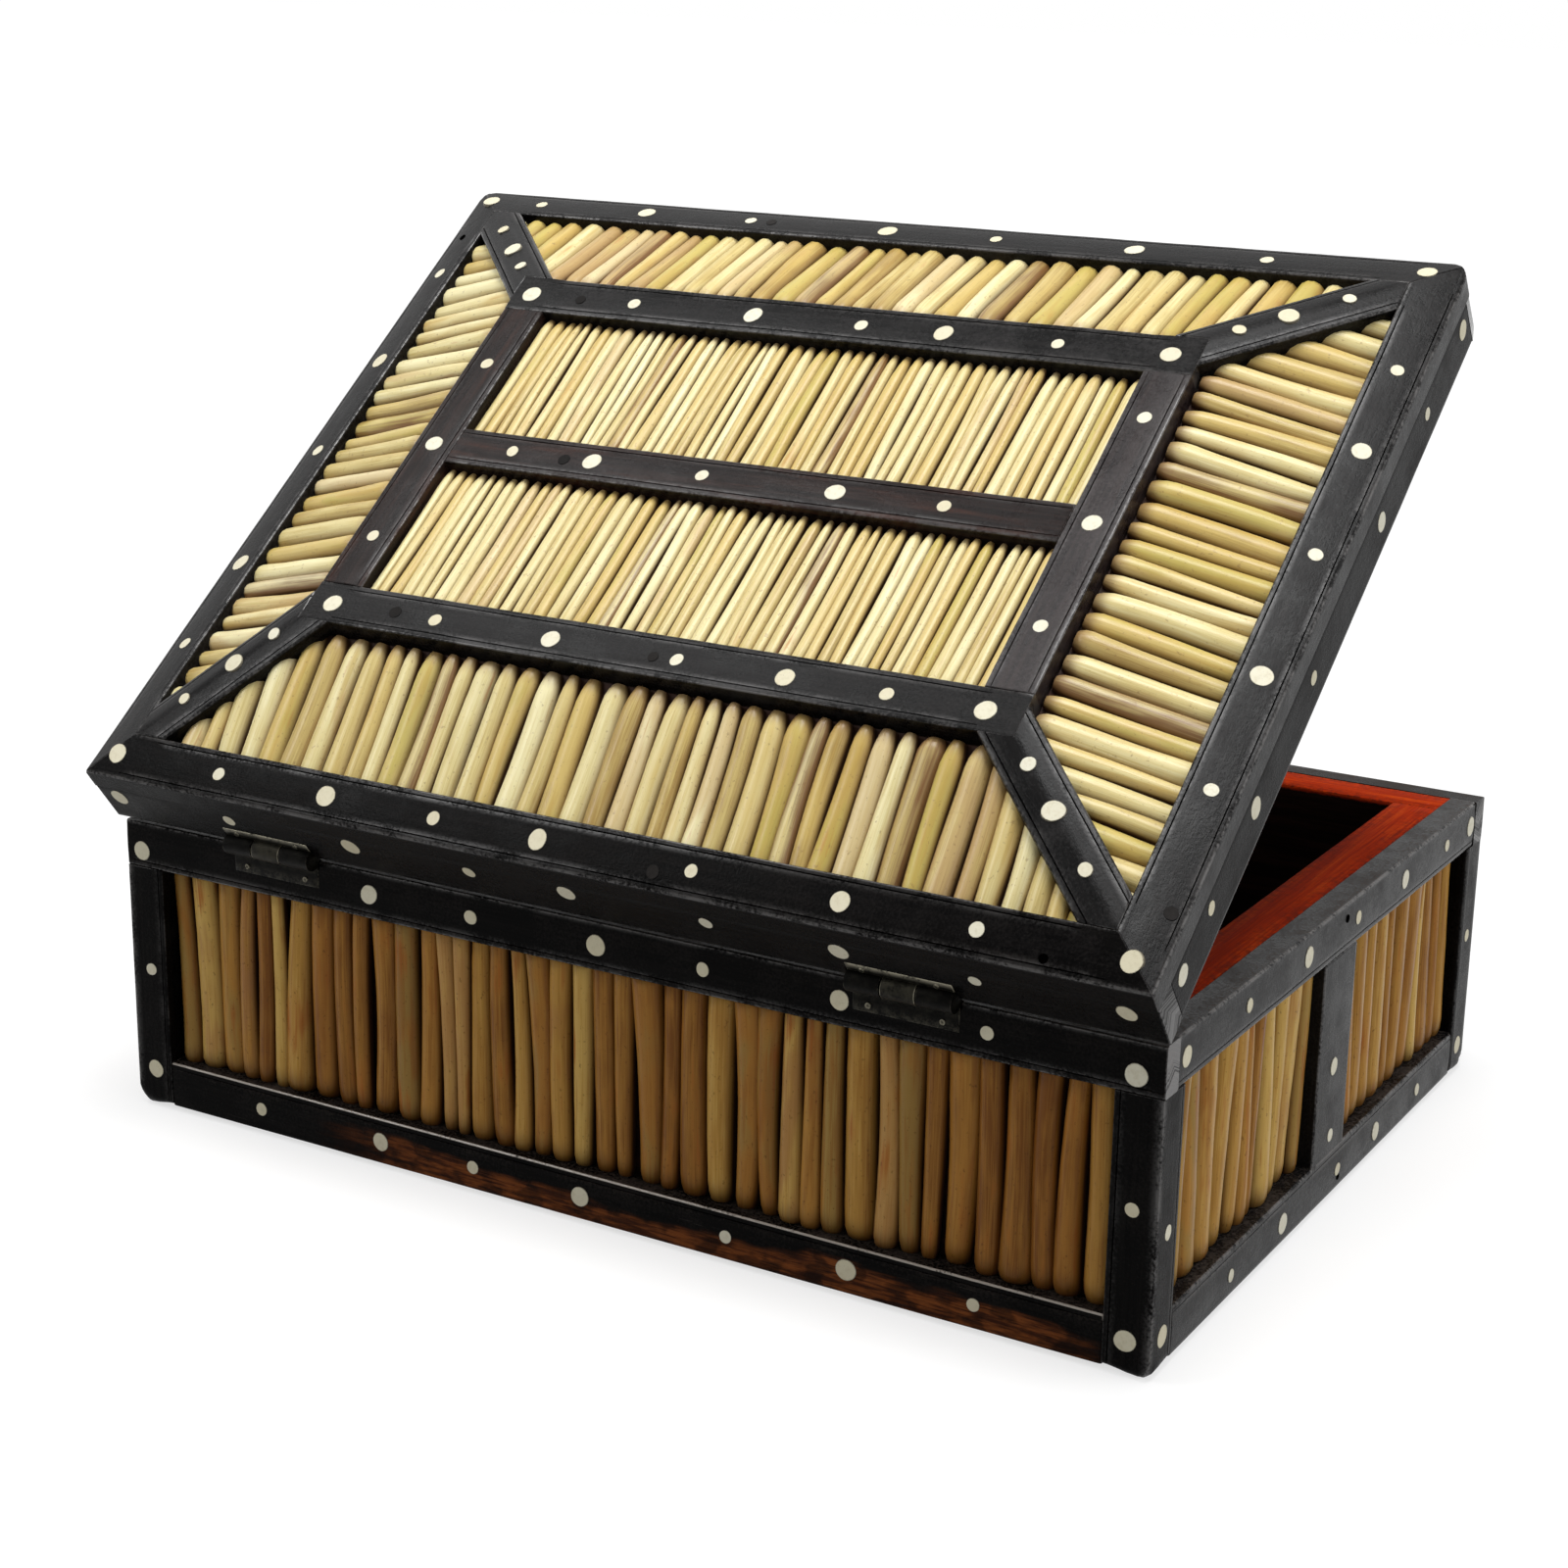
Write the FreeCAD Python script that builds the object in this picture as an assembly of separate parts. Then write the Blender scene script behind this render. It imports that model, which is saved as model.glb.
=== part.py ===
"""Quill-clad keepsake box with a hipped, hinged lid.

Millimetres, +Z up. The origin is the middle of the base board's underside, which lies in
the plane of the four feet. The front faces -Y and the two hinges are on the +Y side.
The lid is modelled closed and then swung open about the hinge pins to its resting angle.
"""
import FreeCAD
import Part
import math
import os

Vec = FreeCAD.Vector

# Overall size of the box without its lid
BOX_LENGTH = 250.0
BOX_WIDTH = 186.0
RIM_HEIGHT = 67.5

# Carcass boards
WALL_THICK = 10.5
BASE_THICK = 6.0

# Ebony cladding of the box
CLAD_THICK = 6.2
UPPER_RAIL_HEIGHT = 10.5
BOTTOM_RAIL_HEIGHT = 10.5
POST_WIDTH = 10.0
STILE_WIDTH = 18.5
FOOT_DROP = 1.0
FOOT_ROUND = 0.9
RAIL_ROUND = 0.5

# Quills of the box: half-round, flat back on the wall
LONG_QUILL_COUNT = 42
END_QUILL_COUNT = 12
BOX_QUILL_RISE = 3.5

# Lid outline
LID_OVERHANG = 1.0
LID_GAP = 0.6
LID_EDGE_HEIGHT = 16.0
LID_BORDER = 40.8
LID_RISE = 13.2

# Lid carcass
LID_BAND_THICK = 6.2
LID_FRAME_THICK = 10.5
LID_BOARD_THICK = 5.0
LINING_THICK = 3.0
LINING_RECESS = 2.5

# Ebony strips on the lid
LID_TRIM_THICK = 5.0
STRIP_WIDTH = 10.0
TOP_RAIL_WIDTH = 10.6
MID_RAIL_WIDTH = 10.2
HIP_WIDTH = 11.0
LID_CORNER_ROUND = 5.0

# Quills of the lid
LONG_BORDER_COUNT = 46
END_BORDER_COUNT = 33
CENTRE_COUNT = 52
BORDER_QUILL_RISE = 3.0
CENTRE_QUILL_RISE = 2.5

# Every quill: gaps that keep one from the next and from the wood at its ends
QUILL_SIDE_GAP = 0.16
QUILL_END_GAP = 0.1
QUILL_TAPER = 0.1

# Bone dots let into the ebony
BIG_DOT_RADIUS = 2.3
SMALL_DOT_RADIUS = 1.6
DOT_DEPTH = 1.5
DOT_EDGE = 0.6
LONG_DOTS = 9
END_DOTS = 7
FLAT_RAIL_DOTS = 7
SHORT_RAIL_DOTS = 3
POST_DOT_HEIGHT = 7.6
STILE_DOT_UP = 4.5
HIP_DOT_SHARES = (0.15, 0.38, 0.68)

# Hinges
HINGE_LENGTH = 23.0
HINGE_SPACING = 153.5
HINGE_SHIFT = 5.25
AXIS_OUT = 1.6
BARREL_RADIUS = 2.4
BARREL_CLEARANCE = 0.35
KNUCKLE_GAP = 0.3
PIN_RADIUS = 0.8
PIN_CLEARANCE = 0.05
LEAF_THICK = 1.0
BOX_LEAF_DEPTH = 6.2
LID_LEAF_DEPTH = 4.6
NAIL_SPACING = 16.0
NAIL_RADIUS = 0.8
NAIL_LENGTH = 5.0
NAIL_EDGE = 1.2
LID_REST_ANGLE = 37.2

# A fragment smaller than this, in cubic millimetres, is not kept as a quill
LEAST_PIECE = 0.5

# Worked out from the sizes above
HALF_X = BOX_LENGTH / 2
HALF_Y = BOX_WIDTH / 2
CARCASS_X = HALF_X - CLAD_THICK
CARCASS_Y = HALF_Y - CLAD_THICK
RAIL_BOTTOM = RIM_HEIGHT - UPPER_RAIL_HEIGHT
PANEL_BOTTOM = FOOT_DROP + BOTTOM_RAIL_HEIGHT
POST_X = HALF_X - POST_WIDTH
POST_Y = HALF_Y - POST_WIDTH
LID_X = HALF_X + LID_OVERHANG
LID_Y = HALF_Y + LID_OVERHANG
LID_BASE = RIM_HEIGHT + LID_GAP
LID_TOP = LID_BASE + LID_EDGE_HEIGHT + LID_RISE
SLOPE = LID_RISE / LID_BORDER
SLOPE_ANGLE = math.atan(SLOPE)
SLOPE_COS = math.cos(SLOPE_ANGLE)
FLAT_X = LID_X - LID_BORDER
FLAT_Y = LID_Y - LID_BORDER
HIP_SPREAD = HIP_WIDTH / math.sqrt(2)
HIP_OFFSET = LID_X - LID_Y
AXIS_Y = HALF_Y + AXIS_OUT
AXIS_Z = LID_BASE
HINGE_PLACES = (HINGE_SHIFT + HINGE_SPACING / 2, HINGE_SHIFT - HINGE_SPACING / 2)

nodes = {}


def block(x0, x1, y0, y1, z0, z1):
    """A box between two corners."""
    return Part.makeBox(x1 - x0, y1 - y0, z1 - z0, Vec(x0, y0, z0))


def polyhedron(points, faces):
    """A solid with flat faces, each face a loop of point numbers."""
    shell = []
    for loop in faces:
        ring = [points[i] for i in loop]
        shell.append(Part.Face(Part.makePolygon(ring + ring[:1])))
    return Part.Solid(Part.Shell(shell))


def column(plan, z0, z1):
    """A plan outline, as (x, y) pairs, raised from z0 to z1."""
    ring = [Vec(x, y, z0) for x, y in plan]
    return Part.Face(Part.makePolygon(ring + ring[:1])).extrude(Vec(0, 0, z1 - z0))


def mirrored(plan, sign_x, sign_y):
    """A plan outline flipped into another quarter."""
    return [(sign_x * x, sign_y * y) for x, y in plan]


def cylinder(point, direction, radius, length):
    """A cylinder that starts at a point and runs along a direction."""
    return Part.makeCylinder(radius, length, point, direction)


def round_edges(shape, radius, wanted):
    """Round the straight edges whose middle point passes the test."""
    edges = []
    for edge in shape.Edges:
        middle = edge.CenterOfMass
        if wanted(middle, edge):
            edges.append(edge)
    if radius <= 0 or not edges:
        return shape
    return shape.makeFillet(radius, edges)


def flat_inset(depth):
    """How far in from the lid's outer face the flat top begins when sunk by a depth."""
    return LID_BORDER + (depth / SLOPE_COS - depth) / SLOPE


def roof(depth):
    """The lid's outer form, sunk inwards by a depth square to each face."""
    edge_top = LID_BASE + LID_EDGE_HEIGHT - depth / SLOPE_COS
    flat_in = flat_inset(depth)
    levels = (
        (LID_X, LID_Y, LID_BASE),
        (LID_X, LID_Y, edge_top),
        (LID_X - flat_in, LID_Y - flat_in, LID_TOP - depth),
    )
    points = []
    for x, y, z in levels:
        points += [Vec(-x, -y, z), Vec(x, -y, z), Vec(x, y, z), Vec(-x, y, z)]
    faces = [(3, 2, 1, 0), (8, 9, 10, 11)]
    for level in (0, 4):
        for k in range(4):
            n = (k + 1) % 4
            faces.append((level + k, level + n, level + 4 + n, level + 4 + k))
    return polyhedron(points, faces)


def top_height(x, y):
    """Height of the lid's outer surface over a plan point."""
    inward = min(LID_X - abs(x), LID_Y - abs(y))
    return LID_BASE + LID_EDGE_HEIGHT + SLOPE * min(inward, LID_BORDER)


def spread(count, length):
    """Evenly spaced centres of a count of things that share a length."""
    pitch = length / count
    return [(k + 0.5) * pitch - length / 2 for k in range(count)]


def dot_row(count, half, big_first=True):
    """A row of dots as (place, radius), big and small in turn, ends at plus and minus half."""
    row = []
    for k in range(count):
        big = (k % 2 == 0) == big_first
        row.append((2 * half * k / (count - 1) - half, BIG_DOT_RADIUS if big else SMALL_DOT_RADIUS))
    return row


def inlay(shape, spots, trim=None):
    """Sink a bone dot into a member at each (point, outward normal, radius)."""
    dots = []
    for point, normal, radius in spots:
        normal = Vec(normal).normalize()
        seat = point - normal * DOT_DEPTH
        if trim is None:
            dot = cylinder(seat, normal, radius, DOT_DEPTH)
        else:
            dot = cylinder(seat, normal, radius, 2 * DOT_DEPTH).common(trim)
        dots.append(dot)
        shape = shape.cut(cylinder(seat, normal, radius, 2 * DOT_DEPTH))
    return shape, dots


def quill_bed(starts, run, up, rise, pitch, zone):
    """Tapered half-round quills from each start along run, cut to the zone they lie in."""
    thick = (pitch - QUILL_SIDE_GAP) / (2 - QUILL_TAPER)
    thin = thick * (1 - QUILL_TAPER)
    quills = []
    for k, start in enumerate(starts):
        r0, r1 = (thin, thick) if k % 2 else (thick, thin)
        foot = start + up * (rise - r0)
        tip = start + run + up * (rise - r1)
        lean = tip - foot
        length = lean.Length
        cone = Part.makeCone(r0, r1, length, foot, lean.normalize())
        piece = cone.common(zone)
        quills += [s for s in piece.Solids if s.Volume > LEAST_PIECE]
    return quills


def add(name, *shapes):
    """Keep solids under a node's name."""
    nodes.setdefault(name, [])
    for shape in shapes:
        nodes[name] += shape.Solids


def barrel_rooms():
    """The room that the knuckles need at each hinge, with play at its ends."""
    radius = BARREL_RADIUS + BARREL_CLEARANCE
    length = HINGE_LENGTH + 2 * KNUCKLE_GAP
    return [on_axis(x0 - KNUCKLE_GAP, length, radius) for x0, x1 in leaf_places()]


def leaf_places():
    """The ends of each hinge along X."""
    return [(c - HINGE_LENGTH / 2, c + HINGE_LENGTH / 2) for c in HINGE_PLACES]


def clear_of_leaves(row):
    """Drop the dots that a hinge leaf covers and move aside those that touch its end."""
    kept = []
    for place, radius in row:
        reach = radius + DOT_EDGE
        for x0, x1 in leaf_places():
            if x0 + radius < place < x1 - radius:
                place = None
                break
            if x1 - radius <= place < x1 + reach:
                place = x1 + reach
            elif x0 - reach < place <= x0 + radius:
                place = x0 - reach
        if place is not None:
            kept.append((place, radius))
    return kept


def build_carcass():
    """Base board and the four boards that stand on it."""
    add("base_board", block(-CARCASS_X, CARCASS_X, -CARCASS_Y, CARCASS_Y, 0, BASE_THICK))
    inner_x = CARCASS_X - WALL_THICK
    inner_y = CARCASS_Y - WALL_THICK
    add("rear_wall", block(-CARCASS_X, CARCASS_X, inner_y, CARCASS_Y, BASE_THICK, RIM_HEIGHT))
    add("front_wall", block(-CARCASS_X, CARCASS_X, -CARCASS_Y, -inner_y, BASE_THICK, RIM_HEIGHT))
    add("left_end_wall", block(-CARCASS_X, -inner_x, -inner_y, inner_y, BASE_THICK, RIM_HEIGHT))
    add("right_end_wall", block(inner_x, CARCASS_X, -inner_y, inner_y, BASE_THICK, RIM_HEIGHT))


def build_rails():
    """Ebony rails, posts and stiles of the box, with their dots."""
    dots = []
    soft = min(RAIL_ROUND, CLAD_THICK / 4)
    upper_z = RIM_HEIGHT - UPPER_RAIL_HEIGHT / 2
    bottom_z = FOOT_DROP + BOTTOM_RAIL_HEIGHT / 2
    middle_z = (PANEL_BOTTOM + RAIL_BOTTOM) / 2
    long_half = HALF_X - POST_WIDTH / 2
    long_row = dot_row(LONG_DOTS, long_half)
    end_row = dot_row(END_DOTS, CARCASS_Y - BIG_DOT_RADIUS - DOT_EDGE)

    for name, side in (("rear", 1), ("front", -1)):
        face = side * HALF_Y
        back = side * CARCASS_Y
        out = Vec(0, side, 0)
        y0, y1 = min(face, back), max(face, back)

        def outer(middle, edge, face=face):
            return abs(middle.y - face) < 0.01 and abs(edge.BoundBox.XLength) > CLAD_THICK

        rail = block(-HALF_X, HALF_X, y0, y1, RAIL_BOTTOM, RIM_HEIGHT)
        rail = round_edges(rail, soft, outer)
        row = clear_of_leaves(long_row) if side > 0 else long_row
        rail, made = inlay(rail, [(Vec(x, face, upper_z), out, r) for x, r in row])
        dots += made
        if side > 0:
            rail = cut_all(rail, barrel_rooms() + box_plates() + box_nails())
        add(name + "_upper_rail", rail)

        rail = block(-POST_X, POST_X, y0, y1, FOOT_DROP, PANEL_BOTTOM)
        rail = round_edges(rail, soft, outer)
        rail, made = inlay(rail, [(Vec(x, face, bottom_z), out, r) for x, r in long_row[1:-1]])
        dots += made
        add(name + "_bottom_rail", rail)

    for name, side in (("right", 1), ("left", -1)):
        face = side * HALF_X
        back = side * CARCASS_X
        out = Vec(side, 0, 0)
        x0, x1 = min(face, back), max(face, back)

        def outer(middle, edge, face=face):
            return abs(middle.x - face) < 0.01 and abs(edge.BoundBox.YLength) > CLAD_THICK

        rail = block(x0, x1, -CARCASS_Y, CARCASS_Y, RAIL_BOTTOM, RIM_HEIGHT)
        rail = round_edges(rail, soft, outer)
        rail, made = inlay(rail, [(Vec(face, y, upper_z), out, r) for y, r in end_row])
        dots += made
        add(name + "_upper_rail", rail)

        rail = block(x0, x1, -POST_Y, POST_Y, FOOT_DROP, PANEL_BOTTOM)
        rail = round_edges(rail, soft, outer)
        rail, made = inlay(rail, [(Vec(face, y, bottom_z), out, r) for y, r in end_row[1:-1]])
        dots += made
        add(name + "_bottom_rail", rail)

        stile = block(x0, x1, -STILE_WIDTH / 2, STILE_WIDTH / 2, PANEL_BOTTOM, RAIL_BOTTOM)
        spots = [
            (Vec(face, 0, middle_z), out, BIG_DOT_RADIUS),
            (Vec(face, 0, PANEL_BOTTOM + STILE_DOT_UP), out, SMALL_DOT_RADIUS),
        ]
        stile, made = inlay(stile, spots)
        dots += made
        add(name + "_stile", stile)

    for sx, sy, name in ((1, 1, "rear_right"), (-1, 1, "rear_left"),
                         (1, -1, "front_right"), (-1, -1, "front_left")):
        plan = [(HALF_X, HALF_Y), (POST_X, HALF_Y), (POST_X, CARCASS_Y),
                (CARCASS_X, CARCASS_Y), (CARCASS_X, POST_Y), (HALF_X, POST_Y)]
        post = column(mirrored(plan, sx, sy), 0, RAIL_BOTTOM)

        def foot(middle, edge, sx=sx, sy=sy):
            outside = abs(middle.x - sx * HALF_X) < 0.01 or abs(middle.y - sy * HALF_Y) < 0.01
            return outside and edge.BoundBox.ZMax < 0.01

        post = round_edges(post, min(FOOT_ROUND, CLAD_THICK / 4), foot)
        spots = []
        for height, radius in ((middle_z, SMALL_DOT_RADIUS), (POST_DOT_HEIGHT, BIG_DOT_RADIUS)):
            spots.append((Vec(sx * long_half, sy * HALF_Y, height), Vec(0, sy, 0), radius))
            spots.append((Vec(sx * HALF_X, sy * (POST_Y + HALF_Y) / 2, height), Vec(sx, 0, 0), radius))
        post, made = inlay(post, spots)
        dots += made
        add(name + "_post", post)
    add("box_bone_dots", *dots)


def build_box_quills():
    """Quill panels of the two long sides and the two ends."""
    z0 = PANEL_BOTTOM + QUILL_END_GAP
    z1 = RAIL_BOTTOM - QUILL_END_GAP
    run = Vec(0, 0, z1 - z0)
    pitch = 2 * POST_X / LONG_QUILL_COUNT
    for name, side in (("rear", 1), ("front", -1)):
        wall = side * CARCASS_Y
        face = side * HALF_Y
        zone = block(-POST_X, POST_X, min(wall, face), max(wall, face), z0, z1)
        starts = [Vec(x, wall, z0) for x in spread(LONG_QUILL_COUNT, 2 * POST_X)]
        bed = quill_bed(starts, run, Vec(0, side, 0), BOX_QUILL_RISE, pitch, zone)
        add(name + "_quills", *bed)

    panel = POST_Y - STILE_WIDTH / 2
    pitch = panel / END_QUILL_COUNT
    middle = STILE_WIDTH / 2 + panel / 2
    for name, side in (("right", 1), ("left", -1)):
        wall = side * CARCASS_X
        face = side * HALF_X
        zone = block(min(wall, face), max(wall, face), -POST_Y, POST_Y, z0, z1)
        for half in (1, -1):
            starts = [Vec(wall, half * middle + y, z0) for y in spread(END_QUILL_COUNT, panel)]
            bed = quill_bed(starts, run, Vec(side, 0, 0), BOX_QUILL_RISE, pitch, zone)
            add(name + "_end_quills", *bed)


def lid_layers():
    """The lid's nested roof forms: outer face, top of the boards, underside of the boards."""
    outer = roof(0)
    plan = block(-LID_X, LID_X, -LID_Y, LID_Y, LID_BASE, LID_TOP)

    def front_corner(middle, edge):
        return middle.y < 0 and edge.BoundBox.ZLength > LID_EDGE_HEIGHT

    plan = round_edges(plan, min(LID_CORNER_ROUND, LID_BAND_THICK - 1), front_corner)
    return outer.common(plan), roof(LID_TRIM_THICK), roof(LID_TRIM_THICK + LID_BOARD_THICK)


def side_plan(u0, u1, long_side):
    """Plan trapezoid of a mitred member between two distances in from the lid's edge."""
    x0, y0 = LID_X - u0, LID_Y - u0
    x1, y1 = LID_X - u1, LID_Y - u1
    if long_side:
        return [(-x0, y0), (x0, y0), (x1, y1), (-x1, y1)]
    return [(x0, -y0), (x0, y0), (x1, y1), (x1, -y1)]


def normal_at(side_x, side_y):
    """Outward normal of the sloping face on one side of the lid."""
    return Vec(side_x * SLOPE, side_y * SLOPE, 1)


def surface(x, y):
    """A point on the lid's outer surface."""
    return Vec(x, y, top_height(x, y))


def build_lid_carcass(under_trim, under_board):
    """Frame boards, sloping boards, flat top board and the lining."""
    u0 = LID_BAND_THICK
    u1 = u0 + LID_FRAME_THICK
    x0, y0 = LID_X - u0, LID_Y - u0
    x1, y1 = LID_X - u1, LID_Y - u1
    frame = [block(-x0, x0, y1, y0, LID_BASE, LID_TOP), block(-x0, x0, -y0, -y1, LID_BASE, LID_TOP),
             block(x1, x0, -y1, y1, LID_BASE, LID_TOP), block(-x0, -x1, -y1, y1, LID_BASE, LID_TOP)]
    for board in frame:
        add("lid_frame", board.common(under_board))
    low = LID_BASE + LINING_RECESS
    add("lid_lining", block(-x1, x1, -y1, y1, low, low + LINING_THICK))

    boards = under_trim.cut(under_board)
    top = flat_inset(LID_TRIM_THICK)
    for name, sign, long_side in (("rear", 1, True), ("front", -1, True),
                                  ("right", 1, False), ("left", -1, False)):
        plan = side_plan(u0, top, long_side)
        plan = mirrored(plan, 1, sign) if long_side else mirrored(plan, sign, 1)
        add("lid_%s_slope_board" % name, boards.common(column(plan, LID_BASE, LID_TOP)))
    tx, ty = LID_X - top, LID_Y - top
    flat = block(-tx, tx, -ty, ty, LID_TOP - LID_TRIM_THICK - LID_BOARD_THICK, LID_TOP - LID_TRIM_THICK)
    add("lid_top_board", flat)


def build_lid_trim(outer, under_trim):
    """Ebony bands, strips, hips and rails of the lid, with their dots."""
    dots = []
    trim = outer.cut(under_trim)
    strip_mid = STRIP_WIDTH / 2
    long_half = LID_X - strip_mid - (BIG_DOT_RADIUS + DOT_EDGE) * math.sqrt(2)
    band_z = LID_BASE + LID_EDGE_HEIGHT / 2
    bx, by = LID_X - LID_BAND_THICK, LID_Y - LID_BAND_THICK
    long_row = dot_row(LONG_DOTS, long_half)
    end_row = dot_row(END_DOTS, by - BIG_DOT_RADIUS - DOT_EDGE)
    strip_row = dot_row(END_DOTS, LID_Y - strip_mid)[1:-1]
    flat_row = dot_row(FLAT_RAIL_DOTS, FLAT_X - TOP_RAIL_WIDTH / 2)
    flat_pitch = flat_row[1][0] - flat_row[0][0]
    short_row = dot_row(SHORT_RAIL_DOTS, flat_pitch * (SHORT_RAIL_DOTS - 1) / 2, False)

    for name, sign in (("rear", 1), ("front", -1)):
        out = Vec(0, sign, 0)
        y0, y1 = sorted((sign * LID_Y, sign * by))
        band = block(-LID_X, LID_X, y0, y1, LID_BASE, LID_TOP).common(under_trim).common(outer)
        band, made = inlay(band, [(Vec(x, sign * LID_Y, band_z), out, r) for x, r in long_row])
        dots += made
        if sign > 0:
            band = cut_all(band, barrel_rooms() + lid_plates() + lid_nails())
        add("lid_%s_band" % name, band)

        plan = mirrored(side_plan(0, STRIP_WIDTH, True), 1, sign)
        strip = trim.common(column(plan, LID_BASE, LID_TOP))
        spots = [(surface(x, sign * (LID_Y - strip_mid)), normal_at(0, sign), r) for x, r in long_row]
        strip, made = inlay(strip, spots, outer)
        dots += made
        add("lid_%s_strip" % name, strip)

        y0, y1 = sorted((sign * FLAT_Y, sign * (FLAT_Y - TOP_RAIL_WIDTH)))
        rail = block(-FLAT_X, FLAT_X, y0, y1, LID_TOP - LID_TRIM_THICK, LID_TOP)
        spots = [(Vec(x, (y0 + y1) / 2, LID_TOP), Vec(0, 0, 1), r) for x, r in flat_row]
        rail, made = inlay(rail, spots)
        dots += made
        add("lid_%s_rail" % name, rail)

    inner_x = FLAT_X - TOP_RAIL_WIDTH
    inner_y = FLAT_Y - TOP_RAIL_WIDTH
    for name, sign in (("right", 1), ("left", -1)):
        out = Vec(sign, 0, 0)
        x0, x1 = sorted((sign * LID_X, sign * bx))
        band = block(x0, x1, -by, by, LID_BASE, LID_TOP).common(under_trim)
        band, made = inlay(band, [(Vec(sign * LID_X, y, band_z), out, r) for y, r in end_row])
        dots += made
        add("lid_%s_band" % name, band)

        plan = mirrored(side_plan(0, STRIP_WIDTH, False), sign, 1)
        strip = trim.common(column(plan, LID_BASE, LID_TOP))
        spots = [(surface(sign * (LID_X - strip_mid), y), normal_at(sign, 0), r) for y, r in strip_row]
        strip, made = inlay(strip, spots, outer)
        dots += made
        add("lid_%s_strip" % name, strip)

        x0, x1 = sorted((sign * FLAT_X, sign * inner_x))
        rail = block(x0, x1, -inner_y, inner_y, LID_TOP - LID_TRIM_THICK, LID_TOP)
        spots = [(Vec((x0 + x1) / 2, y, LID_TOP), Vec(0, 0, 1), r) for y, r in short_row]
        rail, made = inlay(rail, spots)
        dots += made
        add("lid_%s_rail" % name, rail)

    rail = block(-inner_x, inner_x, -MID_RAIL_WIDTH / 2, MID_RAIL_WIDTH / 2,
                 LID_TOP - LID_TRIM_THICK, LID_TOP)
    rail, made = inlay(rail, [(Vec(x, 0, LID_TOP), Vec(0, 0, 1), r) for x, r in flat_row[1:-1]])
    dots += made
    add("lid_mid_rail", rail)

    for sx, sy, name in ((1, 1, "rear_right"), (-1, 1, "rear_left"),
                         (1, -1, "front_right"), (-1, -1, "front_left")):
        lo, hi = FLAT_Y, LID_Y - STRIP_WIDTH
        plan = [(FLAT_X, FLAT_Y), (FLAT_X, FLAT_Y - HIP_SPREAD), (hi + HIP_OFFSET, hi - HIP_SPREAD),
                (hi + HIP_OFFSET, hi), (hi + HIP_OFFSET - HIP_SPREAD, hi), (FLAT_X - HIP_SPREAD, FLAT_Y)]
        hip = trim.common(column(mirrored(plan, sx, sy), LID_BASE, LID_TOP))
        spots = []
        for share, radius in zip(HIP_DOT_SHARES, (SMALL_DOT_RADIUS, BIG_DOT_RADIUS, SMALL_DOT_RADIUS)):
            y = lo + share * (hi - lo)
            x = y + HIP_OFFSET
            normal = Vec(sx * SLOPE / 2, sy * SLOPE / 2, 1)
            spots.append((surface(sx * x, sy * y), normal, radius))
        hip, made = inlay(hip, spots, outer)
        dots += made
        add("lid_%s_hip" % name, hip)
    add("lid_bone_dots", *dots)


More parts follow.
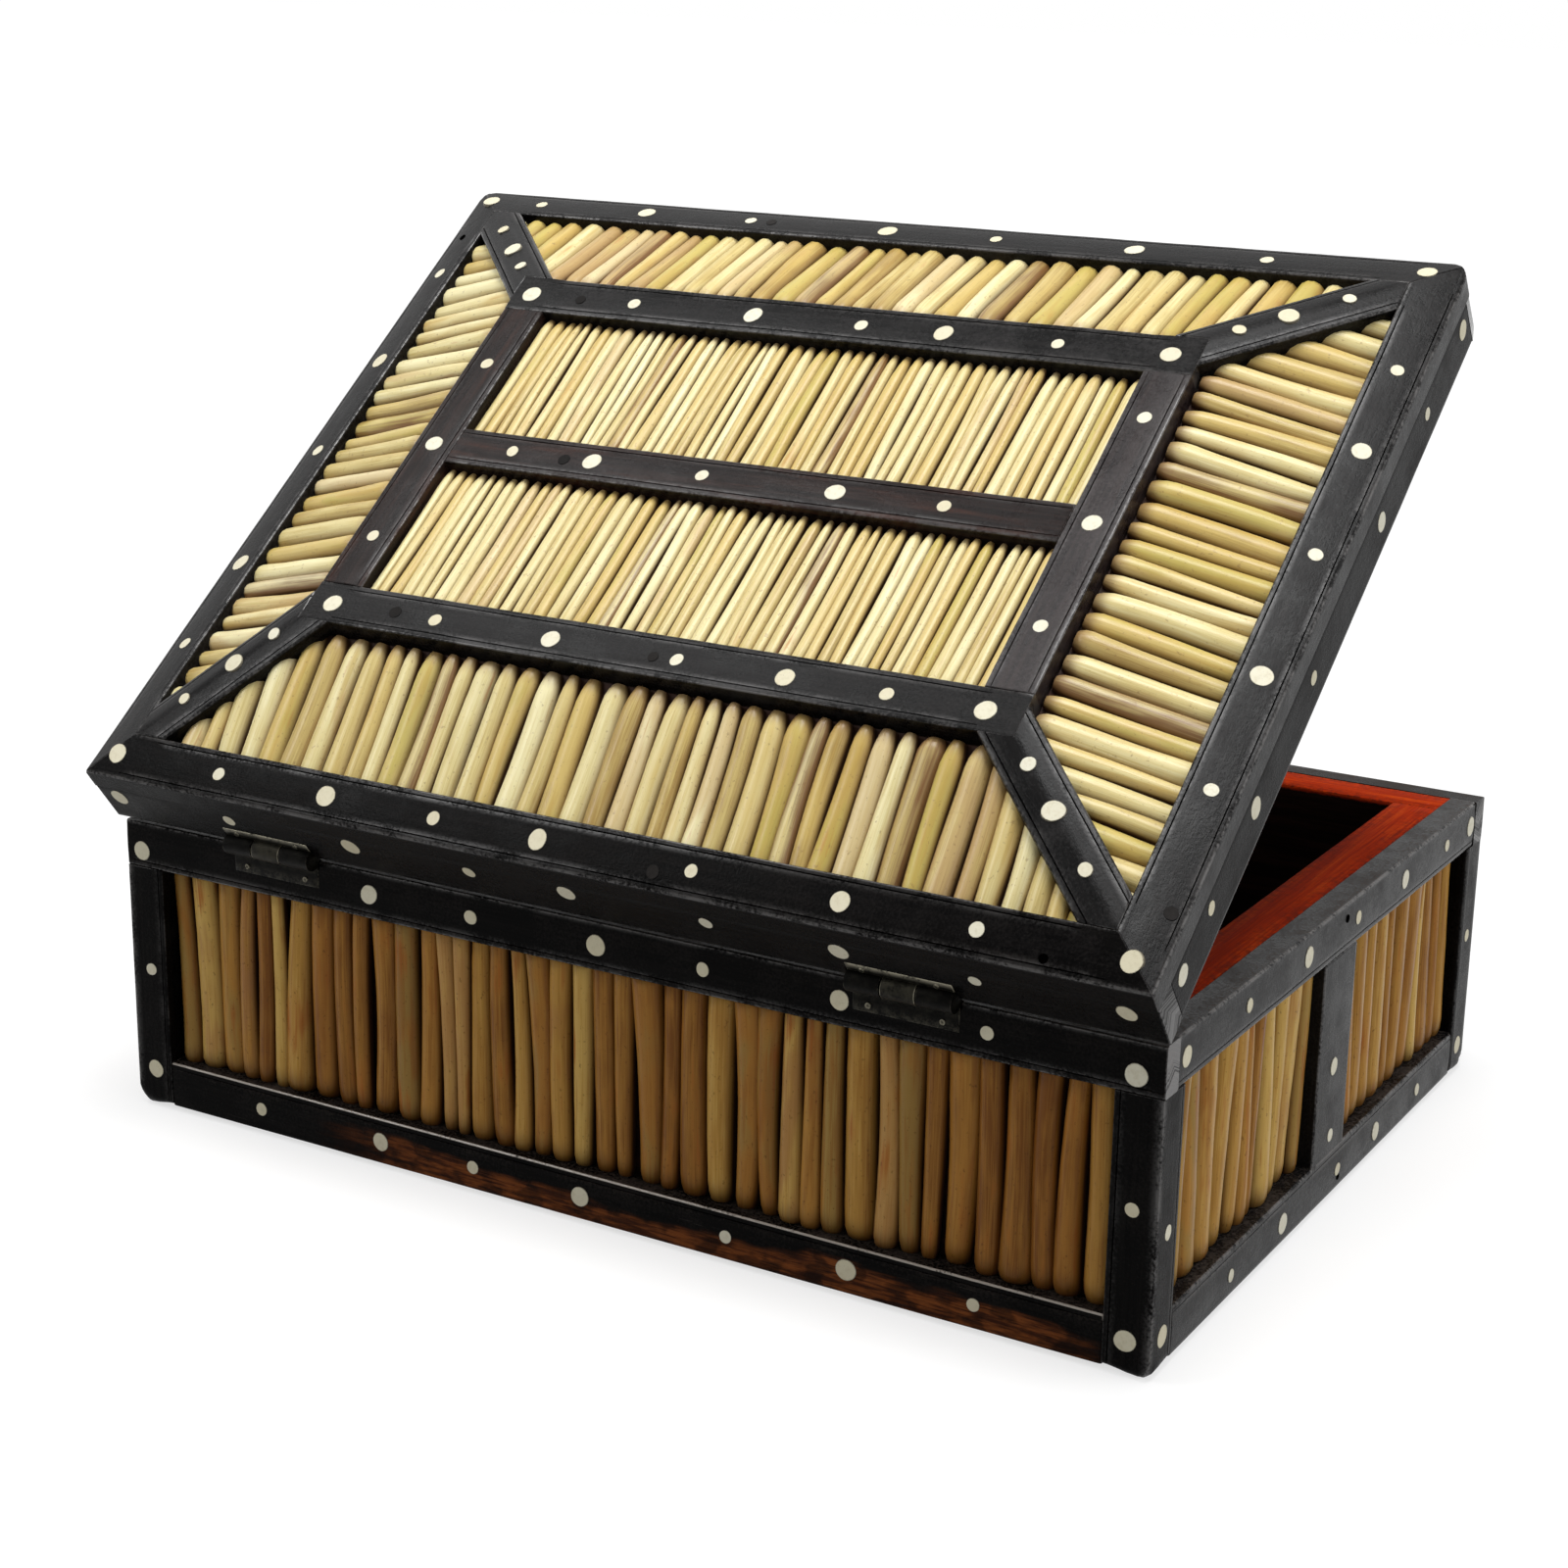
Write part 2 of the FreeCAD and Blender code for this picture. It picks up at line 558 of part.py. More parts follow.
def build_lid_quills(under_trim):
    """Quill panels of the lid: four sloping borders and the two flat centre panels."""
    gap = QUILL_END_GAP
    u0 = STRIP_WIDTH + gap
    u1 = LID_BORDER - gap
    hip = HIP_SPREAD + gap * math.sqrt(2)
    edge = LID_BASE + LID_EDGE_HEIGHT - LID_TRIM_THICK / SLOPE_COS
    reach = LID_BORDER - STRIP_WIDTH + 2 * BORDER_QUILL_RISE * SLOPE
    tall = LID_TOP + LID_BORDER

    for name, sign in (("rear", 1), ("front", -1)):
        y0, y1 = LID_Y - u0, LID_Y - u1
        plan = [(-y0 - HIP_OFFSET + hip, y0), (y0 + HIP_OFFSET - hip, y0),
                (y1 + HIP_OFFSET - hip, y1), (-y1 - HIP_OFFSET + hip, y1)]
        zone = column(mirrored(plan, 1, sign), LID_BASE, tall).cut(under_trim)
        up = Vec(0, sign * SLOPE, 1).normalize()
        run = Vec(0, -sign * reach, SLOPE * reach)
        width = 2 * (LID_X - STRIP_WIDTH)
        start_y = sign * (LID_Y - STRIP_WIDTH)
        start_z = edge + SLOPE * STRIP_WIDTH
        starts = [Vec(x, start_y, start_z) for x in spread(LONG_BORDER_COUNT, width)]
        bed = quill_bed(starts, run, up, BORDER_QUILL_RISE, width / LONG_BORDER_COUNT, zone)
        add("lid_%s_quills" % name, *bed)

    for name, sign in (("right", 1), ("left", -1)):
        x0, x1 = LID_X - u0, LID_X - u1
        plan = [(x0, -x0 + HIP_OFFSET + hip), (x0, x0 - HIP_OFFSET - hip),
                (x1, x1 - HIP_OFFSET - hip), (x1, -x1 + HIP_OFFSET + hip)]
        zone = column(mirrored(plan, sign, 1), LID_BASE, tall).cut(under_trim)
        up = Vec(sign * SLOPE, 0, 1).normalize()
        run = Vec(-sign * reach, 0, SLOPE * reach)
        width = 2 * (LID_Y - STRIP_WIDTH)
        start_x = sign * (LID_X - STRIP_WIDTH)
        start_z = edge + SLOPE * STRIP_WIDTH
        starts = [Vec(start_x, y, start_z) for y in spread(END_BORDER_COUNT, width)]
        bed = quill_bed(starts, run, up, BORDER_QUILL_RISE, width / END_BORDER_COUNT, zone)
        add("lid_%s_quills" % name, *bed)

    inner_x = FLAT_X - TOP_RAIL_WIDTH
    bottom = LID_TOP - LID_TRIM_THICK
    for sign in (1, -1):
        near = sign * (MID_RAIL_WIDTH / 2 + gap)
        far = sign * (FLAT_Y - TOP_RAIL_WIDTH - gap)
        zone = block(-inner_x, inner_x, min(near, far), max(near, far), bottom, LID_TOP)
        starts = [Vec(x, near, bottom) for x in spread(CENTRE_COUNT, 2 * inner_x)]
        pitch = 2 * inner_x / CENTRE_COUNT
        bed = quill_bed(starts, Vec(0, far - near, 0), Vec(0, 0, 1), CENTRE_QUILL_RISE, pitch, zone)
        add("lid_centre_quills", *bed)


def leaf_plates(z0, z1, face):
    """Upright plates let into a rear face, one at each hinge."""
    return [block(x0, x1, face - LEAF_THICK, face, z0, z1) for x0, x1 in leaf_places()]


def box_plates():
    """The lower leaves' plates, let into the upper rail."""
    return leaf_plates(RIM_HEIGHT - BOX_LEAF_DEPTH, RIM_HEIGHT, HALF_Y)


def lid_plates():
    """The upper leaves' plates, let into the lid's rear band."""
    return leaf_plates(LID_BASE, LID_BASE + LID_LEAF_DEPTH, LID_Y)


def nails(height, face):
    """Nails driven forwards through the leaves, heads flush with the leaf."""
    places = [c + s * NAIL_SPACING / 2 for c in HINGE_PLACES for s in (1, -1)]
    return [cylinder(Vec(x, face, height), Vec(0, -1, 0), NAIL_RADIUS, NAIL_LENGTH) for x in places]


def box_nails():
    """Nails of the lower leaves."""
    return nails(RIM_HEIGHT - BOX_LEAF_DEPTH + NAIL_EDGE, HALF_Y)


def lid_nails():
    """Nails of the upper leaves."""
    return nails(LID_BASE + LID_LEAF_DEPTH - NAIL_EDGE, LID_Y)


def on_axis(start, length, radius):
    """A cylinder on the hinge line."""
    return cylinder(Vec(start, AXIS_Y, AXIS_Z), Vec(1, 0, 0), radius, length)


def cut_all(shape, cutters):
    """Take several shapes out of one."""
    for cutter in cutters:
        if shape.BoundBox.intersect(cutter.BoundBox):
            shape = shape.cut(cutter)
    return shape


def build_hinges():
    """Two hinges of three knuckles, their pins and nails."""
    third = HINGE_LENGTH / 3
    play = KNUCKLE_GAP / 2
    room = BARREL_RADIUS + BARREL_CLEARANCE
    for (x0, x1), leaf, flap in zip(leaf_places(), box_plates(), lid_plates()):
        outer = [(x0, third - play), (x1 - third + play, third - play)]
        middle = [(x0 + third + play, third - 2 * play)]
        leaf = cut_all(leaf, [on_axis(x - 2 * play, w + 4 * play, room) for x, w in middle])
        flap = cut_all(flap, [on_axis(x - 2 * play, w + 4 * play, room) for x, w in outer])
        for x, w in outer:
            leaf = leaf.fuse(on_axis(x, w, BARREL_RADIUS))
        for x, w in middle:
            flap = flap.fuse(on_axis(x, w, BARREL_RADIUS))
        leaf = leaf.removeSplitter().cut(on_axis(x0, HINGE_LENGTH, PIN_RADIUS))
        flap = flap.removeSplitter().cut(on_axis(x0, HINGE_LENGTH, PIN_RADIUS + PIN_CLEARANCE))
        add("hinge_box_leaves", cut_all(leaf, box_nails()))
        add("hinge_lid_leaves", cut_all(flap, lid_nails()))
        add("hinge_pins", on_axis(x0, HINGE_LENGTH, PIN_RADIUS))
    add("hinge_box_nails", *box_nails())
    add("hinge_lid_nails", *lid_nails())


def swing_lid():
    """Turn every lid piece about the hinge line to the angle at which the lid stands."""
    for name in nodes:
        if name.startswith("lid_") or name.startswith("hinge_lid"):
            for solid in nodes[name]:
                solid.rotate(Vec(0, AXIS_Y, AXIS_Z), Vec(-1, 0, 0), LID_REST_ANGLE)


def main():
    """Build every piece and write one file for each node."""
    build_carcass()
    build_rails()
    build_box_quills()
    outer, under_trim, under_board = lid_layers()
    build_lid_carcass(under_trim, under_board)
    build_lid_trim(outer, under_trim)
    build_lid_quills(under_trim)
    build_hinges()
    swing_lid()
    os.makedirs("parts", exist_ok=True)
    for name, solids in nodes.items():
        shape = solids[0] if len(solids) == 1 else Part.makeCompound(solids)
        state = "" if all(s.isValid() and s.Volume > 0 for s in solids) else "INVALID"
        print("%-26s %4d solids %10.1f mm3 %s" % (name, len(solids), shape.Volume, state))
        shape.exportStep("parts/%s.step" % name)
    print(len(nodes), "nodes")


main()
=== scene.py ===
"""Keepsake box clad in quills and dotted ebony, its hipped lid swung open on two hinges.

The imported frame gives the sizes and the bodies, and this file gives the looks. Lengths are
written in millimetres, as on the maker's drawing. Meshes are made in metres.
"""
import logging
import math
from dataclasses import dataclass, field, replace
from enum import Enum
from typing import Any, Callable, Iterable, Sequence, Union

import bpy
from mathutils import Matrix, Vector, noise


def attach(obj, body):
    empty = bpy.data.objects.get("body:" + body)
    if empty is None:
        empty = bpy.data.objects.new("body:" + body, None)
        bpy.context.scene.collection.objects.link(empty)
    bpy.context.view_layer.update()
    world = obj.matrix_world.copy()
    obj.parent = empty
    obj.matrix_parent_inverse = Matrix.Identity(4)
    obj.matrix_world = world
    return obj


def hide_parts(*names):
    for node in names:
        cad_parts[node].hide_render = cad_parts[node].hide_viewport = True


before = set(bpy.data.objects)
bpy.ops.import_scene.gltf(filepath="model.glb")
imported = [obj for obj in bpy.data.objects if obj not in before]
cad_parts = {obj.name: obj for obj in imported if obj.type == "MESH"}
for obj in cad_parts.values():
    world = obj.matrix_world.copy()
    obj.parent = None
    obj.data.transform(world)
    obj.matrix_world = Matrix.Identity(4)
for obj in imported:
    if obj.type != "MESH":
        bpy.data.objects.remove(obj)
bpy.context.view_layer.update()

log = logging.getLogger("keepsake_box")
MM = 0.001
UP = Vector((0.0, 0.0, 1.0))
Mesh, Material, NodeSocket, Object = (
    bpy.types.Mesh, bpy.types.Material, bpy.types.NodeSocket, bpy.types.Object)
Number = Union[int, float, "Wire"]
Colour = tuple[float, float, float]
Section = Sequence[tuple[float, float, float]]


# Sizes of the box and its lid, in millimetres


@dataclass(frozen=True)
class BoxSizes:
    """Sizes of the box below its rim."""

    half_x: float = 125.0
    half_y: float = 93.0
    rim: float = 67.5
    clad: float = 6.2
    rail: float = 10.5
    post: float = 10.0
    stile: float = 18.5
    foot_drop: float = 1.0
    wall: float = 10.5
    floor: float = 6.0

    @property
    def core_x(self) -> float:
        """Half length of the carcass behind the cladding."""
        return self.half_x - self.clad

    @property
    def core_y(self) -> float:
        """Half width of the carcass behind the cladding."""
        return self.half_y - self.clad

    @property
    def panel_low(self) -> float:
        """Height of the quills' lower ends."""
        return self.foot_drop + self.rail

    @property
    def panel_high(self) -> float:
        """Height of the quills' upper ends."""
        return self.rim - self.rail


@dataclass(frozen=True)
class LidSizes:
    """Sizes of the lid as it lies closed."""

    half_x: float = 126.0
    half_y: float = 94.0
    base: float = 68.1
    edge: float = 16.0
    border: float = 40.8
    rise: float = 13.2
    band: float = 6.2
    trim: float = 5.0
    strip: float = 10.0
    top_rail: float = 10.6
    mid_rail: float = 10.2
    hip: float = 11.0
    axis_y: float = 94.6
    rest_angle: float = 37.2

    @property
    def slope(self) -> float:
        """Rise of the sloping border for each millimetre inwards."""
        return self.rise / self.border

    @property
    def slope_cos(self) -> float:
        """Cosine of the border's slope."""
        return math.cos(math.atan(self.slope))

    @property
    def flat_x(self) -> float:
        """Half length of the flat top."""
        return self.half_x - self.border

    @property
    def flat_y(self) -> float:
        """Half width of the flat top."""
        return self.half_y - self.border

    @property
    def top(self) -> float:
        """Height of the flat top."""
        return self.base + self.edge + self.rise

    def tilt(self, side: "Side") -> Vector:
        """Unit vector that a side's sloping border faces on the closed lid."""
        return (side.out * self.slope + UP).normalized()

    def swing(self) -> Matrix:
        """Turn that carries a closed lid's piece to where the lid stands.

        Returns:
            The turn's matrix, in metres.
        """
        pin = Vector((0.0, self.axis_y, self.base)) * MM
        turn = Matrix.Rotation(math.radians(self.rest_angle), 4, Vector((-1.0, 0.0, 0.0)))
        return Matrix.Translation(pin) @ turn @ Matrix.Translation(-pin)

    def surface(self, x: float, y: float) -> Vector:
        """Point on the closed lid's outer surface above a plan point.

        Args:
            x: Place along the lid.
            y: Place across the lid.

        Returns:
            The point, in millimetres.
        """
        inward = min(self.half_x - abs(x), self.half_y - abs(y))
        return Vector((x, y, self.base + self.edge + self.slope * min(inward, self.border)))


BOX = BoxSizes()
LID = LidSizes()


class Side(Enum):
    """The four sides, as the sign of X and of Y that each faces."""

    REAR = (0, 1)
    FRONT = (0, -1)
    RIGHT = (1, 0)
    LEFT = (-1, 0)

    @property
    def out(self) -> Vector:
        """Unit vector that the side faces."""
        return Vector((self.value[0], self.value[1], 0.0))

    @property
    def label(self) -> str:
        """The side's word in the names of pieces."""
        return self.name.lower()

    @property
    def is_long(self) -> bool:
        """True for the two long sides."""
        return self.value[0] == 0

    def pick(self, long: Any, end: Any) -> Any:
        """The first value for a long side, the second for an end."""
        return long if self.is_long else end

    @property
    def along(self) -> Vector:
        """Unit vector along the side, always towards plus X or plus Y."""
        return Vector((1.0, 0.0, 0.0)) if self.is_long else Vector((0.0, 1.0, 0.0))


def corners() -> list[tuple[str, int, int]]:
    """The four corners: the words for each, and its sides along X and Y."""
    return [(f"{word_y}_{word_x}", sign_x, sign_y) for word_y, sign_y in (("rear", 1), ("front", -1))
            for word_x, sign_x in (("right", 1), ("left", -1))]


# Node trees written as expressions


class Wire:
    """An output socket on which Python's operators add Math nodes."""

    def __init__(self, bench: "Bench", socket: NodeSocket) -> None:
        """Hold a socket and the bench that it was made on."""
        self.bench = bench
        self.socket = socket

    def math(self, operation: str, *others: Number) -> "Wire":
        """Add one Math node that starts from this value.

        Args:
            operation: The Math node's operation.
            others: Its further values.

        Returns:
            The result.
        """
        return self.bench.math(operation, self, *others)

    def __add__(self, other: Number) -> "Wire":
        """Sum."""
        return self.bench.math("ADD", self, other)

    def __radd__(self, other: Number) -> "Wire":
        """Sum, reflected."""
        return self.bench.math("ADD", other, self)

    def __sub__(self, other: Number) -> "Wire":
        """Difference."""
        return self.bench.math("SUBTRACT", self, other)

    def __rsub__(self, other: Number) -> "Wire":
        """Difference, reflected."""
        return self.bench.math("SUBTRACT", other, self)

    def __mul__(self, other: Number) -> "Wire":
        """Product."""
        return self.bench.math("MULTIPLY", self, other)

    def __rmul__(self, other: Number) -> "Wire":
        """Product, reflected."""
        return self.bench.math("MULTIPLY", other, self)

    def __truediv__(self, other: Number) -> "Wire":
        """Quotient."""
        return self.bench.math("DIVIDE", self, other)

    def __pow__(self, other: Number) -> "Wire":
        """Power."""
        return self.bench.math("POWER", self, other)

    def __abs__(self) -> "Wire":
        """Size without sign."""
        return self.bench.math("ABSOLUTE", self)


@dataclass
class Bench:
    """A node tree in the making."""

    tree: bpy.types.NodeTree

    def add(self, kind: str, settings: dict[str, Any] | None = None,
            values: dict[str | int, Any] | None = None) -> bpy.types.Node:
        """Add a node, make its settings, then fill its sockets.

        Args:
            kind: The node's type.
            settings: Properties of the node, which are set first.
            values: Values, wires or sockets for its inputs, by name or number.

        Returns:
            The node.
        """
        node = self.tree.nodes.new(kind)
        for key, value in (settings or {}).items():
            setattr(node, key, value)
        for key, value in (values or {}).items():
            self.feed(node.inputs[key], value)
        return node

    def feed(self, socket: NodeSocket, value: Any) -> None:
        """Link a wire or socket to an input, or set its own value.

        Args:
            socket: The input.
            value: A wire, an output socket or a plain value.
        """
        if isinstance(value, Wire):
            self.tree.links.new(value.socket, socket)
        elif isinstance(value, NodeSocket):
            self.tree.links.new(value, socket)
        else:
            socket.default_value = value

    def wire(self, node: bpy.types.Node, output: str | int = 0) -> Wire:
        """An output of a node as a wire."""
        return Wire(self, node.outputs[output])

    def math(self, operation: str, *values: Number) -> Wire:
        """Add one Math node.

        Args:
            operation: The node's operation.
            values: Its values, numbers or wires.

        Returns:
            The result.
        """
        return self.wire(self.add("ShaderNodeMath", {"operation": operation}, dict(enumerate(values))))

    def clamp(self, value: Wire) -> Wire:
        """Keep a value between 0 and 1."""
        return self.wire(self.add("ShaderNodeClamp", None, {0: value, 1: 0.0, 2: 1.0}))

    def step(self, value: Wire, low: float, high: float) -> Wire:
        """Smooth step from 0 at low to 1 at high."""
        node = self.add("ShaderNodeMapRange", {"interpolation_type": "SMOOTHSTEP"},
                        {0: value, 1: low, 2: high})
        return self.wire(node)

    def vector(self, x: Number, y: Number, z: Number) -> Wire:
        """Three numbers as a vector."""
        return self.wire(self.add("ShaderNodeCombineXYZ", None, {0: x, 1: y, 2: z}))

    def parts(self, vector: Wire) -> tuple[Wire, Wire, Wire]:
        """The three numbers of a vector."""
        node = self.add("ShaderNodeSeparateXYZ", None, {0: vector})
        return self.wire(node, 0), self.wire(node, 1), self.wire(node, 2)

    def combine(self, operation: str, first: Wire, second: Any) -> Wire:
        """Add one Vector Math node on two vectors."""
        return self.wire(self.add("ShaderNodeVectorMath", {"operation": operation}, {0: first, 1: second}))

    def scaled(self, vector: Wire, scale: Number) -> Wire:
        """A vector made longer or shorter."""
        return self.wire(self.add("ShaderNodeVectorMath", {"operation": "SCALE"},
                                  {0: vector, "Scale": scale}))

    def stretch(self, vector: Wire, scale: Sequence[float]) -> Wire:
        """A vector with each of its numbers scaled."""
        return self.combine("MULTIPLY", vector, tuple(scale))

    def grain(self, vector: Wire, scale: float, detail: float = 3.0, rough: float = 0.55) -> Wire:
        """Noise read at a vector, from 0 to 1."""
        node = self.add("ShaderNodeTexNoise", {"noise_dimensions": "3D"},
                        {"Vector": vector, "Scale": scale, "Detail": detail, "Roughness": rough})
        return self.wire(node, 0)


class Finisher(Bench):
    """A bench for a material's nodes."""

    MIX_COLOURS = (6, 7)
    MIX_RESULT = 2

    def __init__(self, name: str) -> None:
        """Start a material with an empty tree."""
        self.material = bpy.data.materials.new(name)
        self.material.use_nodes = True
        super().__init__(self.material.node_tree)
        self.tree.nodes.clear()

    def attribute(self, name: str, output: str = "Vector") -> Wire:
        """An attribute that the mesh carries."""
        return self.wire(self.add("ShaderNodeAttribute", {"attribute_name": name}), output)

    def level(self, name: str) -> Wire:
        """A number that the mesh carries."""
        return self.attribute(name, "Fac")

    def place(self) -> Wire:
        """The point's place in the object, in millimetres."""
        here = self.wire(self.add("ShaderNodeTexCoord"), "Object")
        return self.stretch(here, (1 / MM, 1 / MM, 1 / MM))

    def blend(self, share: Number, first: Any, second: Any) -> Wire:
        """Mix two colours.

        Args:
            share: How much of the second.
            first: Colour as three numbers, or a wire.
            second: Colour as three numbers, or a wire.

        Returns:
            The mixed colour.
        """
        node = self.add("ShaderNodeMix", {"data_type": "RGBA", "clamp_factor": True}, {"Factor": share})
        for socket, colour in zip(self.MIX_COLOURS, (first, second)):
            self.feed(node.inputs[socket], colour if isinstance(colour, Wire) else (*colour, 1.0))
        return self.wire(node, self.MIX_RESULT)

    def ramp(self, value: Wire, stops: Sequence[tuple[float, Sequence[float]]]) -> Wire:
        """Colours along a value.

        Args:
            value: From 0 to 1.
            stops: Places and their colours.

        Returns:
            The colour.
        """
        node = self.add("ShaderNodeValToRGB", None, {0: value})
        elements = node.color_ramp.elements
        while len(elements) < len(stops):
            elements.new(0.5)
        for element, (place, colour) in zip(elements, stops):
            element.position = place
            element.color = (*colour, 1.0)
        return self.wire(node, 0)

    def bump(self, height: Wire, strength: float, distance: float) -> Wire:
        """Normals bent by a height, whose distance is in millimetres."""
        node = self.add("ShaderNodeBump", None,
                        {"Strength": strength, "Distance": distance * MM, "Height": height})
        return self.wire(node, 0)

    def finish(self, colour: Wire, roughness: Number, normal: Wire | None = None,
               coat: Wire | None = None, **uniform: float) -> Material:
        """Close the material with one principled shader.

        Args:
            colour: Base colour.
            roughness: Roughness, a number or a wire.
            normal: Bent normals.
            coat: How much of a clear polish lies on top.
            uniform: Values that are the same all over, with underscores for spaces.

        Returns:
            The material.
        """
        shader = self.add("ShaderNodeBsdfPrincipled", None, {"Base Color": colour, "Roughness": roughness})
        for key, value in uniform.items():
            shader.inputs[key.replace("_", " ")].default_value = value
        if normal is not None:
            self.feed(shader.inputs["Normal"], normal)
        if coat is not None:
            self.feed(shader.inputs["Coat Weight"], coat)
        self.add("ShaderNodeOutputMaterial", None, {0: shader.outputs[0]})
        return self.material


# Finishes


@dataclass(frozen=True)
class EbonyFinish:
    """Oiled ebony: near black, with long grain, fine scratches, polished arrises and a satin gloss. The
    rubbed arrises are painted pale, partly as wear and partly as a painted highlight.

    Attributes:
        figure_low: Where the brown figure begins in its noise.
        figure_high: Where it is full.
        arris_shine: How polished the rubbed arrises are.
        rub_low: Where the rubbed patches, painted pale as wear and as a painted highlight, begin in their
            noise.
        rub_high: Where they are full.
        rub_share: How pale they are painted, as wear and as a painted highlight.
        rub_edge: How near to an arris they begin.
        rub_from: How far round the section they begin, in millimetres.
    """

    name: str = "ebony"
    dark: Colour = (0.0013, 0.0012, 0.0012)
    light: Colour = (0.0042, 0.0036, 0.0034)
    figure: Colour = (0.0065, 0.0044, 0.0037)
    figure_low: float = 0.60
    figure_high: float = 0.85
    mottled: Colour = (0.012, 0.0105, 0.0100)
    # Pale colour of scratches, specks and rubbed arrises: partly wear, partly a painted highlight.
    wear: Colour = (0.11, 0.10, 0.095)
    dust: Colour = (0.12, 0.095, 0.08)
    specular: float = 0.024
    gloss_rough: float = 0.28
    arris_shine: float = 0.8
    rub_low: float = 0.48
    rub_high: float = 0.70
    rub_share: float = 0.4
    rub_edge: float = 0.0
    rub_from: float = -1.0

    def heart(self, bench: Finisher, grain: Wire, colour: Wire) -> Wire:
        """Any brown heartwood in the black, which plain ebony hasn't."""
        return colour

    def build(self) -> Material:
        """Make the material."""
        bench = Finisher(self.name)
        grain = bench.attribute("grain")
        edge = bench.level("edge")
        dust = bench.level("dust")
        long_grain = bench.grain(bench.stretch(grain, (0.03, 0.9, 1.0)), 1.0, 5.0, 0.6)
        figure = bench.grain(bench.stretch(grain, (0.035, 0.30, 1.0)), 1.0, 4.0, 0.62)
        pores = bench.grain(bench.stretch(grain, (0.35, 4.5, 1.0)), 1.0, 2.0, 0.5)
        patches = bench.grain(grain, 0.10, 3.0, 0.6)
        speck = bench.grain(grain, 1.5, 3.0, 0.65)
        scratch = bench.grain(bench.stretch(grain, (0.10, 7.0, 2.0)), 1.0, 1.0, 0.5)
        colour = bench.blend(bench.step(long_grain, 0.38, 0.7), self.dark, self.light)
        colour = bench.blend(bench.step(figure, self.figure_low, self.figure_high), colour, self.figure)
        colour = bench.blend(bench.step(speck * 0.7 + patches * 0.5, 0.56, 0.78) * 0.55, colour, self.mottled)
        colour = self.heart(bench, grain, colour)
        colour = bench.blend(bench.step(scratch, 0.70, 0.79) * bench.step(patches, 0.4, 0.6) * 0.12,
                             colour, self.wear)
        around = bench.parts(grain)[1]
        # Rubbed arrises painted pale: partly wear, partly a painted highlight where the arris catches the
        # lamps.
        rubbed = (bench.step(edge, self.rub_edge, 1.0)
                  * bench.step(around, self.rub_from, self.rub_from + 0.4)
                  * bench.step(patches * 0.6 + speck * 0.6, self.rub_low, self.rub_high))
        colour = bench.blend(rubbed * self.rub_share, colour, self.wear)
        colour = bench.blend(bench.step(speck, 0.76, 0.82) * 0.2, colour, self.wear)
        settled = dust * bench.step(speck + patches * 0.5, 0.62, 1.0)
        colour = bench.blend(settled * 0.5, colour, self.dust)
        rough = bench.clamp(self.gloss_rough + (patches - 0.5) * 0.6 + (speck - 0.5) * 0.35
                            + (pores - 0.5) * 0.15 + settled * 0.3)
        height = long_grain * 0.35 + pores * 0.3 + patches * 1.4 + speck * 0.8
        return bench.finish(colour, rough, bench.bump(height, 0.5, 0.14),
                            bench.clamp(rubbed * self.arris_shine),
                            Specular_IOR_Level=self.specular, Coat_Roughness=0.16)


@dataclass(frozen=True)
class FlamedEbonyFinish(EbonyFinish):
    """Ebony with a flame of orange heartwood along the lower edge of a rail, and a painted highlight along
    its top arris.

    Attributes:
        begins: Where the flame begins along the rail, in millimetres.
        fades: Where it starts to fade.
        ends: Where it ends.
        top: How far round the section it reaches.
    """

    name: str = "flamed_ebony"
    # Pale colour of the top arris: mostly a painted highlight, with some wear.
    wear: Colour = (0.42, 0.37, 0.32)
    flame: Colour = (0.24, 0.072, 0.020)
    ember: Colour = (0.060, 0.018, 0.008)
    begins: float = -117.0
    fades: float = 35.0
    ends: float = 75.0
    top: float = 12.2
    arris_shine: float = 1.0
    rub_low: float = 0.40
    rub_high: float = 0.56
    rub_share: float = 0.95
    rub_edge: float = 0.55
    rub_from: float = 15.0

    def heart(self, bench: Finisher, grain: Wire, colour: Wire) -> Wire:
        """Paint the flame, which wanders up and down along the rail.

        Args:
            bench: The material's bench.
            grain: Place along and around the rail.
            colour: Colour of the black wood.

        Returns:
            The colour with the flame in it.
        """
        along, around, _ = bench.parts(grain)
        wander = bench.grain(bench.stretch(grain, (0.022, 0.05, 1.0)), 1.0, 3.0, 0.6)
        lick = bench.grain(bench.stretch(grain, (0.07, 0.55, 1.0)), 1.0, 5.0, 0.62)
        streak = bench.grain(bench.stretch(grain, (0.12, 1.6, 1.0)), 1.0, 3.0, 0.6)
        reach = bench.step(along, self.begins, self.begins + 14.0)
        reach = reach * (1.0 - bench.step(along, self.fades, self.ends))
        low = 1.0 - bench.step(around + (wander - 0.5) * 14.0, self.top - 2.6, self.top)
        burnt = bench.step(bench.grain(bench.stretch(grain, (0.16, 0.22, 1.0)), 1.0, 2.0, 0.5), 0.40, 0.52)
        reach = reach * (0.35 + burnt * 0.65)
        share = low * reach * bench.step(lick, 0.38, 0.56)
        colour = bench.blend(low * reach * 0.8, colour, self.ember)
        return bench.blend(share * bench.step(streak, 0.3, 0.6), colour, self.flame)


